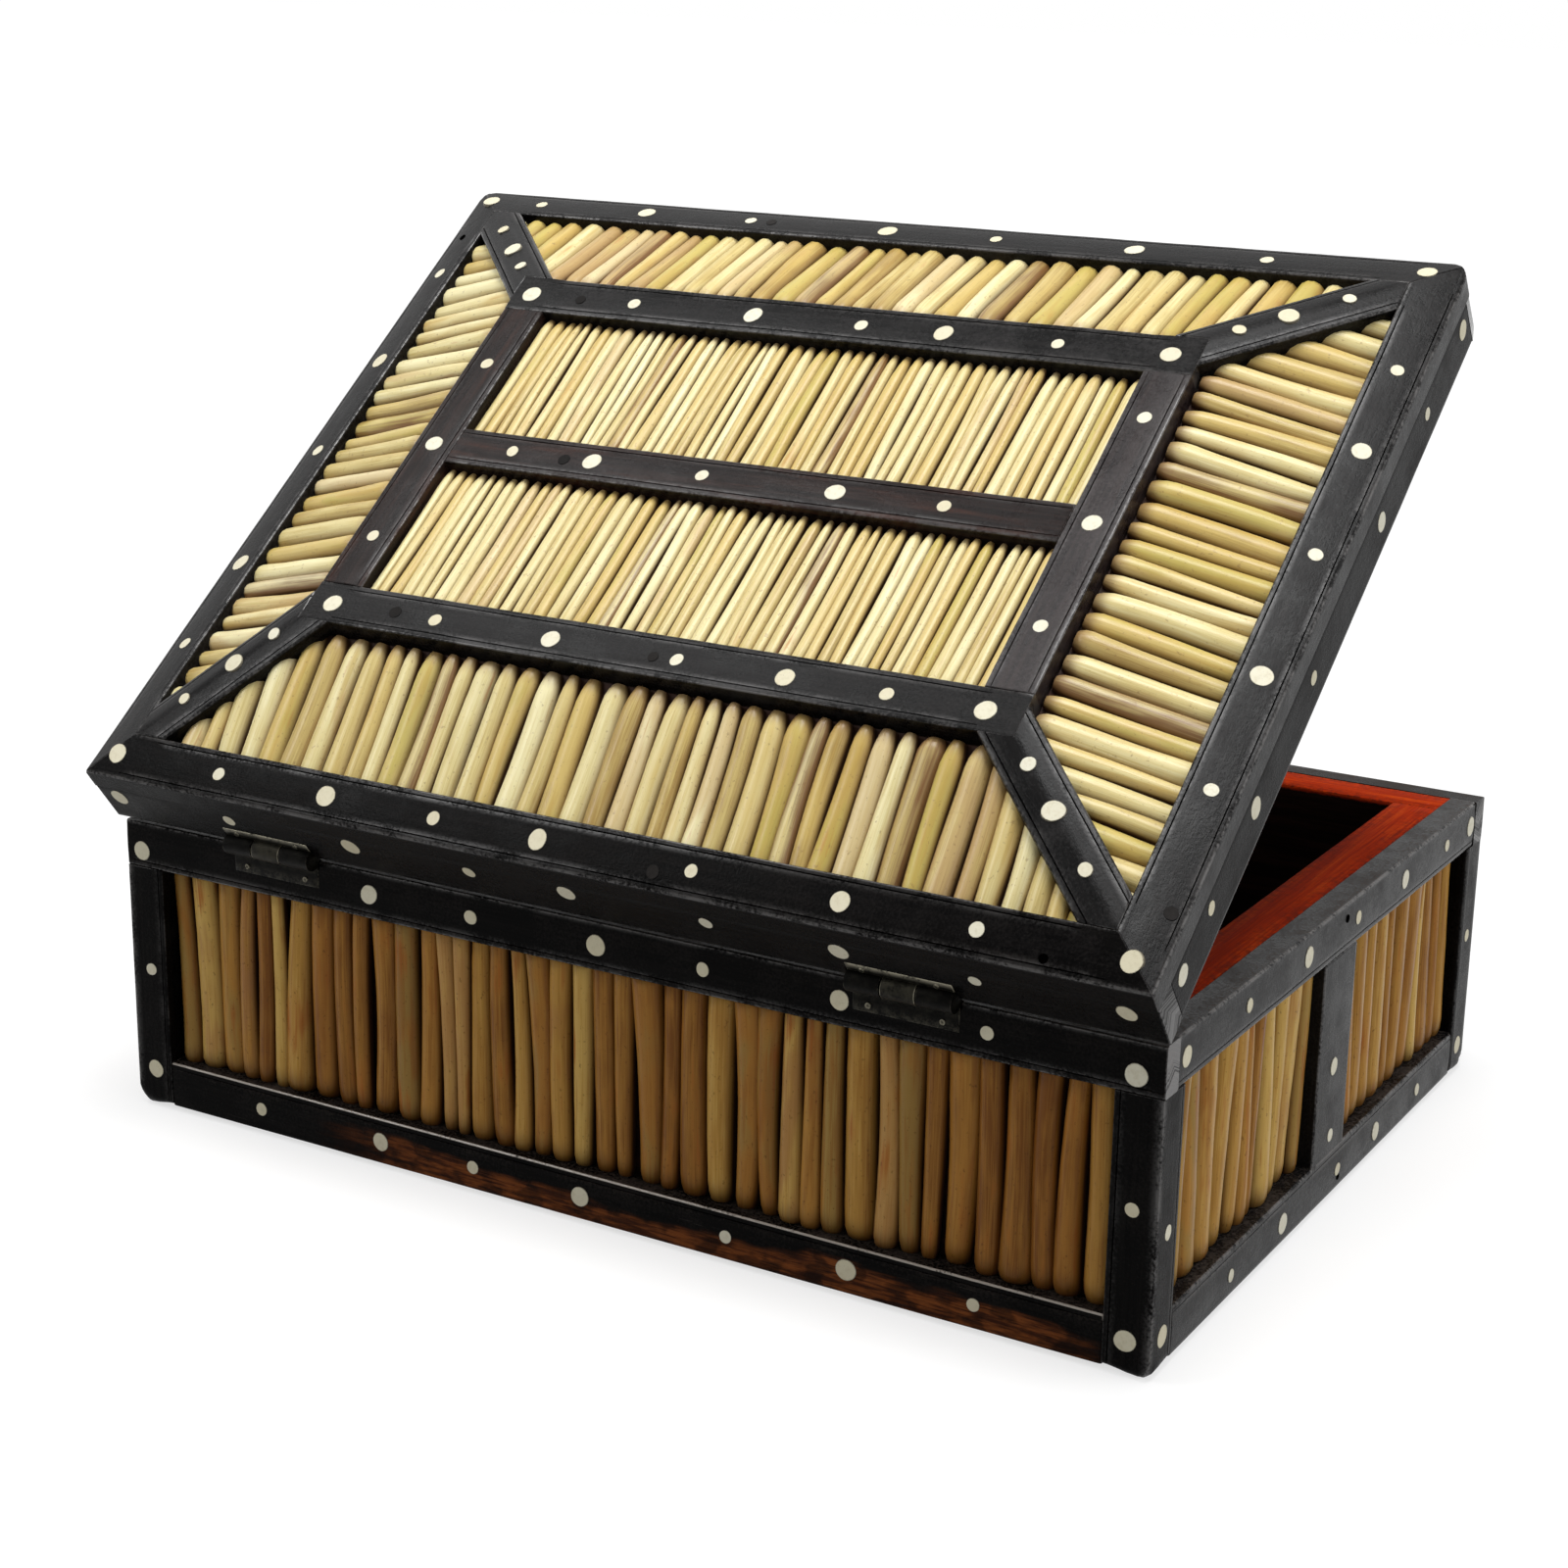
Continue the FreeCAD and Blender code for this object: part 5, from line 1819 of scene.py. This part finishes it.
@dataclass
class QuillBeds:
    """Every panel of quills."""

    shop: Workshop
    recipe: QuillRecipe

    def lay(self, panel: QuillPanel) -> Mesh:
        """Make one panel's quills.

        Args:
            panel: The panel.

        Returns:
            Its mesh, in place on the closed box.
        """
        finish = self.shop.finishes["quill_side" if panel.body == "box" else "quill_lid"]
        values = {label: getattr(panel, label.lower().replace(" ", "_"))
                  for label in self.recipe.named if label != "Material"}
        mesh = self.recipe.run(panel.name, bpy.data.meshes.new(panel.name + "_base"),
                               values | {"Material": finish})
        mesh.transform(panel.frame())
        return mesh

    def box_panels(self) -> None:
        """The panels round the box."""
        s = BOX
        tall = s.panel_high - s.panel_low + 0.4
        low = s.panel_low - 0.2
        for k, side in enumerate(Side):
            across = UP.cross(side.out) * -1.0
            beds = []
            if side.is_long:
                spots = [(0.0, 2 * (s.half_x - s.post), 42)]
                depth = s.core_y
            else:
                span = s.half_y - s.post - s.stile / 2
                spots = [(sign * (s.stile / 2 + span / 2), span, 12) for sign in (1, -1)]
                depth = s.core_x
            for middle, width, count in spots:
                corner = side.out * depth + side.along * middle + UP * (low + tall)
                beds.append(self.lay(QuillPanel(
                    f"{side.label}_quill_bed", corner, across, -UP, count, width, tall, 3.6,
                    20 + k * 7 + int(middle > 0), "box", taper=0.22, lean=0.046, start_tip=0.5,
                    end_tip=3.2, tip_left=0.74, dark_end=7.0, uneven=0.33, bow=0.85,
                    contrast=side.pick(1.0, 0.8), paleness=side.pick(0.0, 0.16))))
            name = f"{side.label}_{side.pick('quills', 'end_quills')}"
            self.shop.mount(join(name, beds), "box", "quill_side", "quill_side", [name])

    def lid_panels(self) -> None:
        """The sloping borders and the two flat centre panels."""
        s = LID
        board = s.base + s.edge - s.trim / s.slope_cos + s.slope * s.strip
        browned = {Side.REAR: (47.0, -46.0, -68.0), Side.FRONT: (14.0, -30.0, 66.0),
                   Side.LEFT: (35.0, -22.0, 900.0), Side.RIGHT: (-10.0, 40.0, 900.0)}
        for k, (side, shade) in enumerate(zip(Side, (0.0, 0.0, 0.25, 0.14))):
            half = side.pick(s.half_y, s.half_x)
            other = side.pick(s.half_x, s.half_y) - s.strip
            along = (-side.out + UP * s.slope).normalized()
            across = along.cross(s.tilt(side))
            corner = side.out * (half - s.strip + 0.3) + UP * (board - 0.1)
            name = f"lid_{side.label}_quills"
            mesh = self.lay(QuillPanel(
                name, corner, across, along, side.pick(46, 33), 2 * other,
                (s.border - s.strip) / s.slope_cos + 0.2, 3.2, 50 + k * 5, "lid", half_reach=other + 0.5,
                uneven=0.22, taper=0.14, lean=0.03, start_tip=0.8, end_tip=side.pick(5.8, 4.2),
                tip_left=side.pick(0.52, 0.58), dark_end=5.0, paleness=shade, contrast=0.9, bow=0.45,
                browned=tuple(value * across.dot(side.along) for value in browned[side])))
            self.shop.mount(mesh, "lid", "quill_lid", "quill_lid", [name], s.swing())
        beds = []
        inner = s.flat_x - s.top_rail
        tall = s.flat_y - s.top_rail - s.mid_rail / 2 + 0.4
        for start, seed, browned_at in ((s.flat_y - s.top_rail + 0.2, 81, (27.0, -14.0, 900.0)),
                                        (-s.mid_rail / 2 + 0.2, 84, (14.0, -36.0, 900.0))):
            beds.append(self.lay(QuillPanel(
                "lid_centre_bed", Vector((0, start, s.top - s.trim)), -Side.RIGHT.out, Side.FRONT.out,
                52, 2 * inner, tall, 2.9, seed, "lid", uneven=0.18, taper=0.13, lean=0.03, start_tip=0.8,
                end_tip=6.5, tip_left=0.45, dark_end=3.5, paleness=0.14, contrast=0.5, bow=0.42,
                browned=browned_at)))
        self.shop.mount(join("lid_centre_quills", beds), "lid", "quill_lid", "quill_lid",
                        ["lid_centre_quills"], s.swing())


# Bone dots


@dataclass
class BoneDots(InlayWork):
    """Bone dots let into the ebony, at the places where the maker set them by eye."""

    def box_spots(self) -> InlaySpots:
        """Places on the box.

        Returns:
            The places, in millimetres.
        """
        s, spots = BOX, InlaySpots()
        top, low = s.rim - 5.0, s.foot_drop + 5.2
        rear, front = s.half_y, -s.half_y
        spots.put(Vector((120.6, rear, 60.9)), Side.REAR.out, BIG_DOT)
        for x, r in in_turn((57.0, 30.5, -0.7, -26.1, -57.1, -88.8, -119.2)):
            spots.put(Vector((x, rear, top if x > -100 else 60.8)), Side.REAR.out, r)
        for x, r in ((88.9, SMALL_DOT), (55.6, WORN_DOT), *in_turn((31, 3.5, -32, -59.9, -88), False)):
            spots.put(Vector((x, rear, low)), Side.REAR.out, r)
        for x, z, r in ((119.5, 33.1, SMALL_DOT), (119.6, 9.1, BIG_DOT), (-119.8, 34.2, SMALL_DOT),
                        (-119.8, 7.4, BIG_DOT)):
            spots.put(Vector((x, rear, z)), Side.REAR.out, r)
            spots.put(Vector((x, front, z + 0.6)), Side.FRONT.out, r)
        spots.row((-119.6, -89.4, -60.8, -29.5, 0.8, 31.0, 59.4, 90.2, 120.2),
                  lambda x: Vector((x, front, top)), Side.FRONT.out)
        spots.row((-89.5, -59.2, -31.0, 1.4, 29.4, 60.9, 88.8),
                  lambda x: Vector((x, front, low)), Side.FRONT.out, False)
        for side in (Side.LEFT, Side.RIGHT):
            face, shift = side.out * s.half_x, 0.0 if side is Side.LEFT else 1.3
            spots.row((83.3, 52.6, 20.6, -8.3, -38.1, -66.5, -83.6),
                      lambda y: face + Vector((0, y - shift, top)), side.out)
            spots.row((53.2, 25.2, -6.9, -31.0, -59.1),
                      lambda y: face + Vector((0, y + shift, low - 0.6)), side.out, False)
            for y, z, r in ((87.6, 28.8, SMALL_DOT), (87.6, 7.5, FOOT_DOT), (-88.0, 34.5, SMALL_DOT),
                            (-88.0, 6.9, FOOT_DOT), (0.4, 31.9, WORN_DOT), (-0.3, 16.0, SMALL_DOT)):
                spots.put(face + Vector((0, y, z)), side.out, r)
        return spots

    def lid_spots(self) -> InlaySpots:
        """Places on the closed lid.

        Returns:
            The places, in millimetres.
        """
        s, spots = LID, InlaySpots()
        spots.row((118.9, 90.3, 61.4, 33.6, 7.9, -28.2, -61.1, -89.7, -120.4),
                  lambda x: s.surface(x, 89.0), s.tilt(Side.REAR))
        spots.row((120.4, 105.3, 74.7, 45.6, 9.1, -18.5, -52.2, -82.9, -118.2),
                  lambda x: s.surface(x, -89.0), s.tilt(Side.FRONT))
        spots.row((-62.8, -32.5, -2.7, 32.9, 57.4), lambda y: s.surface(121.0, y), s.tilt(Side.RIGHT), False)
        spots.row((-60.3, -37.5, -9.5, 21.7, 49.5), lambda y: s.surface(-121.0, y), s.tilt(Side.LEFT), False)
        spots.row((80.2, 52.0, 20.7, -6.6, -26.6, -53.4, -78.8), lambda x: s.surface(x, -47.6), UP)
        spots.row((78.8, 51.5, 22.1, -8.5, -33.6, -56.2, -77.4), lambda x: s.surface(x, 48.4), UP)
        spots.row((-24.8, 0.6, 28.7), lambda y: s.surface(79.9, y), UP, False)
        spots.row((-29.6, -0.5, 26.6), lambda y: s.surface(-79.9, y), UP, False)
        spots.row((58.9, 37.9, 10.0, -22.3, -47.5), lambda x: s.surface(x, 0.0), UP, False)
        for sign_x in (-1, 1):
            for sign_y in (-1, 1):
                ridge = Vector((sign_x * s.slope / 2, sign_y * s.slope / 2, 1))
                spots.row((89.8, 97.4, 106.8),
                          lambda x: s.surface(sign_x * x, sign_y * (x - 32.0)) + ridge * 0.05, ridge, False)
        for x, r in in_turn((120.8, 89.6, 56.8, 26.3, 2.4, -30.4, -59.9, -88.7, -119.2)):
            spots.put(Vector((x, s.half_y, s.base + 7.9)), Side.REAR.out, r)
            spots.put(Vector((-x * 0.97, -s.half_y, s.base + 7.6)), Side.FRONT.out, r)
        for side in (Side.LEFT, Side.RIGHT):
            for (y, r), h in zip(in_turn((-83.8, -59.6, -29.7, 11.7, 44.5, 68.4, 83.4)),
                                 (7.0, 6.6, 6.2, 6.4, 7.2, 7.6, 7.4)):
                spots.put(side.out * s.half_x + Vector((0, y, s.base + h)), side.out, r)
        return spots

    def plugs(self) -> None:
        """Ebony plugs over old pins, and a few small holes, shown as near-black discs of painted shade."""
        plugs, hole_shade_spots, box_hole_shade_spots = InlaySpots(), InlaySpots(), InlaySpots()
        for x, y, facing, radius in ((62.2, 48.0, UP, 1.5), (-3.0, 48.6, UP, 1.3), (66.5, -47.3, UP, 1.3),
                                     (45.0, 0.4, UP, 1.4), (-123.3, 77.0, LID.tilt(Side.LEFT), 1.5),
                                     (-20.0, 90.6, LID.tilt(Side.REAR), 1.5),
                                     (40.0, -89.0, LID.tilt(Side.FRONT), 1.4)):
            plugs.put(LID.surface(x, y), facing, radius)
        # Near-black discs stand for the small holes: painted shade.
        for x, y, side in ((-103.9, 91.6, Side.REAR), (122.0, -76.0, Side.RIGHT)):
            hole_shade_spots.put(LID.surface(x, y), LID.tilt(side), 0.95)
        box_hole_shade_spots.put(Vector((-BOX.half_x, -1.5, BOX.rim - 3.3)), Side.LEFT.out, 0.9)
        box_hole_shade_spots.put(Vector((-BOX.half_x, -7.6, BOX.foot_drop + 2.6)), Side.LEFT.out, 0.8)
        for name, body, spots, finish in (("lid_ebony_plugs", "lid", plugs, "plug"),
                                          ("lid_drilled_holes", "lid", hole_shade_spots, "hole"),
                                          ("box_drilled_holes", "box", box_hole_shade_spots, "hole")):
            self.set_in(name, body, spots, finish, "ebony", (), 0.4,
                        Proud=0.03, Chamfer=0.05, Ragged=0.12, Seed=7)

    def build(self) -> None:
        """Set the plugs, then the dots of the box and of the lid."""
        self.plugs()
        for body, spots in (("box", self.box_spots()), ("lid", self.lid_spots())):
            name = f"{body}_bone_dots"
            self.set_in(name, body, spots, "bone", "bone", [name], 0.6,
                        Proud=0.04, Chamfer=0.08, Ragged=0.3, Seed=5)


# Hinges


@dataclass
class Hinges(InlayWork):
    """Two brass hinges, their pins and nails.

    Attributes:
        gap: Room beside a barrel, and twice the play between two knuckles.
        proud: How far a leaf stands out from the wood.
        margin: Distance from the rim to a leaf's near edge.
        box_leaf: Distance from the rim to the box leaf's far edge.
        lid_leaf: Distance from the lid's base to its leaf's far edge.
    """

    length: float = 23.0
    centres: tuple[float, float] = (82.0, -71.5)
    barrel: float = 2.4
    gap: float = 0.3
    pin: float = 0.8
    leaf: float = 1.0
    proud: float = 0.14
    margin: float = 1.2
    box_leaf: float = 6.2
    lid_leaf: float = 4.6
    nail_apart: float = 8.0

    def rooms(self) -> list[tuple[float, float]]:
        """Stretches along X that the barrels take up."""
        half = self.length / 2 + self.gap
        return [(c - half, c + half) for c in self.centres]

    def round_bar(self, name: str, x0: float, x1: float, radius: float) -> Mesh:
        """A round bar on the hinge line.

        Args:
            name: Name of the mesh.
            x0: Its lower end.
            x1: Its higher end.
            radius: Its radius.

        Returns:
            Its mesh.
        """
        facets = 22
        turns = [math.tau * k / facets for k in range(facets)]
        section = [(radius * math.cos(turn), radius * math.sin(turn), 0.05) for turn in turns]
        middle = Vector((0.0, LID.axis_y, LID.base))
        return Length(name, section, middle, Side.RIGHT.out, UP, [cut_at(x=x0)], [cut_at(x=x1)],
                      wave=0.0, pace=2.0, seam=0.15).mesh()

    def plate(self, name: str, centre: float, low: float, high: float, face: float) -> Mesh:
        """A leaf's plate.

        Args:
            name: Name of the mesh.
            centre: Its middle along X.
            low: Its lower edge.
            high: Its upper edge.
            face: Its outer face along Y.

        Returns:
            Its mesh.
        """
        half = self.length / 2
        middle = Vector((0.0, face, (low + high) / 2))
        section = plain_section(high - low, self.leaf, 0.25)
        return Length(name, section, middle, Side.RIGHT.out, Side.REAR.out, [cut_at(x=centre - half)],
                      [cut_at(x=centre + half)], wave=0.03, pace=2.0, seam=0.15).mesh()

    def build(self) -> None:
        """Make the leaves, pins and nails."""
        third, play = self.length / 3, self.gap / 2
        box_parts, lid_parts, pins = [], [], []
        for c in self.centres:
            x0 = c - self.length / 2
            box_parts.append(self.plate("box_leaf", c, BOX.rim - self.box_leaf, BOX.rim - self.margin,
                                        BOX.half_y + self.proud))
            lid_parts.append(self.plate("lid_leaf", c, LID.base + self.margin, LID.base + self.lid_leaf,
                                        LID.half_y + self.proud))
            for a, b in ((x0, x0 + third - play), (x0 + 2 * third + play, x0 + 3 * third)):
                box_parts.append(self.round_bar("knuckle", a, b, self.barrel))
            lid_parts.append(self.round_bar("knuckle", x0 + third + play, x0 + 2 * third - play, self.barrel))
            pins.append(self.round_bar("pin", x0 + 0.02, x0 + self.length - 0.02, self.pin))
        for name, body, parts, finish, turn in (
                # The box leaves take a darker copy of the brass: painted shade.
                ("hinge_box_leaves", "box", box_parts, "dark_brass", None),
                ("hinge_lid_leaves", "lid", lid_parts, "aged_brass", LID.swing()),
                ("hinge_pins", "box", pins, "aged_brass", None)):
            self.shop.mount(join(name, parts), body, "brass", finish, [name], turn)
        for name, body, height, face in (
                ("hinge_box_nails", "box", BOX.rim - self.box_leaf + 1.5, BOX.half_y),
                ("hinge_lid_nails", "lid", LID.base + self.lid_leaf - 1.4, LID.half_y)):
            spots = InlaySpots()
            for c in self.centres:
                for x in (c - self.nail_apart, c + self.nail_apart):
                    spots.put(Vector((x, face, height)), Side.REAR.out, 0.8)
            self.set_in(name, body, spots, "aged_brass", "brass", [name], 0.5,
                        Proud=0.34, Chamfer=0.3, Ragged=0.08, Seed=9)


# Studio


@dataclass
class Studio:
    """Floor, lamps, sky and camera."""

    eye: Vector = field(default_factory=lambda: Vector((-0.3096, 0.5482, 0.2621)))
    azimuth: float = 210.26
    elevation: float = 16.73
    roll: float = 0.93
    lens: float = 66.44

    def seen(self, bench: Bench) -> Wire:
        """1 for rays that show the background: seen straight, mirrored or through glass.

        Args:
            bench: The bench on which the answer is needed.

        Returns:
            1 or 0.
        """
        path = bench.add("ShaderNodeLightPath")
        shown = bench.wire(path, "Is Camera Ray")
        for kind in ("Is Glossy Ray", "Is Transmission Ray"):
            shown = shown.math("MAXIMUM", bench.wire(path, kind))
        return shown

    def floor(self) -> None:
        """A wide pale floor that shows white and keeps the shadow."""
        bench = Finisher("pale_floor")
        here = bench.place()
        x, y, _ = bench.parts(here)
        far = bench.step((x * x + y * y).math("SQRT"), 250.0, 1600.0)
        pale = bench.blend(bench.grain(here, 0.01, 2.0), (0.40, 0.40, 0.40), (0.43, 0.43, 0.43))
        matt = bench.add("ShaderNodeBsdfDiffuse", None, {"Color": pale})
        glow = bench.add("ShaderNodeEmission", None, {"Color": (1, 1, 1, 1), "Strength": 0.68 + far * 0.32})
        both = bench.add("ShaderNodeAddShader", None, {0: matt.outputs[0], 1: glow.outputs[0]})
        mix = bench.add("ShaderNodeMixShader", None,
                        {0: self.seen(bench), 1: matt.outputs[0], 2: both.outputs[0]})
        bench.add("ShaderNodeOutputMaterial", None, {0: mix.outputs[0]})
        mesh = bpy.data.meshes.new("floor")
        wide = 6.0
        mesh.from_pydata([(-wide, -wide, 0), (wide, -wide, 0), (wide, wide, 0), (-wide, wide, 0)], [],
                         [(0, 1, 2, 3)])
        mesh.materials.append(bench.material)
        piece = bpy.data.objects.new("floor", mesh)
        piece.location.z = -0.0002
        bpy.context.scene.collection.objects.link(piece)

    def sky(self) -> None:
        """Plain soft light from all round, which shows as white."""
        world = bpy.data.worlds.new("plain_sky")
        bpy.context.scene.world = world
        world.use_nodes = True
        world.node_tree.nodes.clear()
        bench = Bench(world.node_tree)
        soft = bench.add("ShaderNodeBackground", None, {0: (1, 1, 1, 1), 1: 0.15})
        white = bench.add("ShaderNodeBackground", None, {0: (1, 1, 1, 1), 1: 1.0})
        mix = bench.add("ShaderNodeMixShader", None,
                        {0: self.seen(bench), 1: soft.outputs[0], 2: white.outputs[0]})
        bench.add("ShaderNodeOutputWorld", None, {0: mix.outputs[0]})

    def lamp(self, name: str, place: Sequence[float], aim: Sequence[float], size: float,
             power: float) -> None:
        """A square soft lamp.

        Args:
            name: The lamp's name.
            place: Where it hangs, in metres.
            aim: What it points at.
            size: Its side.
            power: Its power in watts.
        """
        light = bpy.data.lights.new(name, "AREA")
        light.shape = "SQUARE"
        light.size = size
        light.energy = power
        item = bpy.data.objects.new(name, light)
        item.location = place
        item.rotation_euler = (Vector(aim) - Vector(place)).to_track_quat("-Z", "Y").to_euler()
        bpy.context.scene.collection.objects.link(item)

    def camera(self) -> None:
        """The camera where the photograph was taken from."""
        a, e, r = (math.radians(v) for v in (self.azimuth, self.elevation, self.roll))
        back = Vector((math.sin(a) * math.cos(e), -math.cos(a) * math.cos(e), math.sin(e)))
        right = Vector((0, 0, 1)).cross(back).normalized()
        up = back.cross(right)
        tilted = right * math.cos(r) + up * math.sin(r)
        raised = -right * math.sin(r) + up * math.cos(r)
        view = bpy.data.cameras.new("camera")
        view.lens = self.lens
        view.sensor_width = 36.0
        view.sensor_fit = "HORIZONTAL"
        view.clip_start = 0.01
        item = bpy.data.objects.new("camera", view)
        turn = Matrix((tilted, raised, back)).transposed().to_4x4()
        item.matrix_world = Matrix.Translation(self.eye) @ turn
        bpy.context.scene.collection.objects.link(item)
        bpy.context.scene.camera = item

    def build(self) -> None:
        """Set up the studio."""
        bpy.context.scene.view_settings.view_transform = "Standard"
        self.floor()
        self.sky()
        self.lamp("high_lamp", (-0.10, 0.07, 1.05), (0.0, 0.0, 0.1), 0.45, 8.2)
        self.lamp("top_lamp", (0.55, 0.12, 1.02), (0.0, 0.0, 0.1), 0.32, 1.9)
        self.lamp("end_lamp", (-1.15, -0.1, 0.52), (0.0, 0.0, 0.05), 1.2, 5.8)
        self.lamp("rear_lamp", (0.65, 0.62, 0.75), (0.0, 0.0, 0.05), 0.28, 2.6)
        self.camera()


def finishes() -> dict[str, Material]:
    """Every finish by name."""
    made = (
        # Plain ebony and the copies marked below are one wood, painted lighter or darker for how the light
        # falls on each member; plain ebony, the darkest, goes on the posts, the bands, the rear strip and the
        # long sides' rails but the flamed one.
        EbonyFinish(),
        # A lighter copy of the ebony for the strips but the rear one, the long flat rails and the hips:
        # painted light.
        EbonyFinish("strip_ebony", dark=(0.0026, 0.0024, 0.0024), light=(0.0085, 0.0078, 0.0076),
                    figure=(0.013, 0.011, 0.0105), mottled=(0.026, 0.024, 0.024),
                    gloss_rough=0.30, specular=0.085),
        # A lighter copy of the ebony for the rails and stiles of both ends: painted light.
        EbonyFinish("end_ebony", dark=(0.0050, 0.0050, 0.0054), light=(0.0110, 0.0105, 0.0105),
                    figure=(0.015, 0.0125, 0.0115), mottled=(0.020, 0.019, 0.019), specular=0.05),
        EbonyFinish("brown_ebony", dark=(0.0075, 0.0050, 0.0047), light=(0.024, 0.0150, 0.0130),
                    figure=(0.046, 0.019, 0.013), figure_low=0.5, figure_high=0.75, specular=0.085),
        # A lighter, glossier copy of the ebony for the left flat rail: painted sheen.
        EbonyFinish("satin_ebony", dark=(0.0100, 0.0070, 0.0072), light=(0.028, 0.0200, 0.0190),
                    figure=(0.046, 0.026, 0.022), mottled=(0.050, 0.042, 0.042),
                    gloss_rough=0.34, specular=0.19),
        FlamedEbonyFinish(),
        QuillFinish("quill_side", tones=((0.0, (0.21, 0.075, 0.011)), (0.35, (0.37, 0.170, 0.030)),
                                         (0.7, (0.52, 0.285, 0.060)), (1.0, (0.65, 0.42, 0.115))),
                    ochre=(0.45, 0.20, 0.036), stain=(0.38, 0.11, 0.016), stain_low=0.55,
                    stain_high=0.80, olive=(0.30, 0.215, 0.060), rosy=(0.42, 0.20, 0.080),
                    tip=(0.085, 0.034, 0.010), crevice=(0.022, 0.008, 0.003),
                    brown=(0.10, 0.033, 0.009), amber=(0.27, 0.095, 0.014), specular=0.10),
        QuillFinish("quill_lid", tones=((0.0, (0.41, 0.27, 0.082)), (0.35, (0.61, 0.475, 0.180)),
                                        (0.7, (0.76, 0.65, 0.315)), (1.0, (0.88, 0.80, 0.47))),
                    ochre=(0.63, 0.44, 0.12), stain=(0.48, 0.19, 0.032), stain_low=0.66,
                    stain_high=0.88, olive=(0.50, 0.42, 0.085), rosy=(0.58, 0.39, 0.19),
                    tip=(0.27, 0.150, 0.065), crevice=(0.060, 0.026, 0.008),
                    brown=(0.17, 0.062, 0.016), amber=(0.52, 0.34, 0.085), specular=0.30),
        InlayFinish(),
        InlayFinish("plug", pale=(0.012, 0.010, 0.009), deep=(0.006, 0.005, 0.0045),
                    mottled=(0.004, 0.0035, 0.003), dirt=(0.03, 0.025, 0.02),
                    joint=(0.0008, 0.0007, 0.0006), specular=0.05),
        # Near-black discs that stand for small drilled holes: painted shade in the holes.
        InlayFinish("hole", pale=(0.0008, 0.0007, 0.0006), deep=(0.0006, 0.0005, 0.0005),
                    mottled=(0.001, 0.0008, 0.0007), dirt=(0.002, 0.0015, 0.001),
                    joint=(0.0008, 0.0007, 0.0006), specular=0.0),
        RimFinish(),
        BoardFinish("inner_wood", dark=(0.012, 0.005, 0.003), light=(0.045, 0.016, 0.009)),
        BoardFinish("black_wood", dark=(0.006, 0.004, 0.003), light=(0.020, 0.010, 0.008)),
        BrassFinish(),
        # A darker copy of the aged brass for the box leaves: painted shade.
        BrassFinish("dark_brass", dark=(0.0012, 0.0011, 0.0009), light=(0.0035, 0.0032, 0.0024),
                    shine=0.12, rub_low=0.5))
    return {finish.name: finish.build() for finish in made}


def main() -> None:
    """Build the box, its lid and the studio."""
    logging.basicConfig(level=logging.INFO, format="%(message)s")
    shop = Workshop(finishes())
    quills, inlays = QuillRecipe(), InlayRecipe()
    hinges = Hinges(shop, inlays)
    BoxCarcass(shop).build()
    BoxCladding(shop, hinge_rooms=hinges.rooms()).build()
    LidTrim(shop, hinge_rooms=hinges.rooms()).build()
    beds = QuillBeds(shop, quills)
    beds.box_panels()
    beds.lid_panels()
    BoneDots(shop, inlays).build()
    hinges.build()
    Studio().build()


if __name__ == "__main__":
    main()
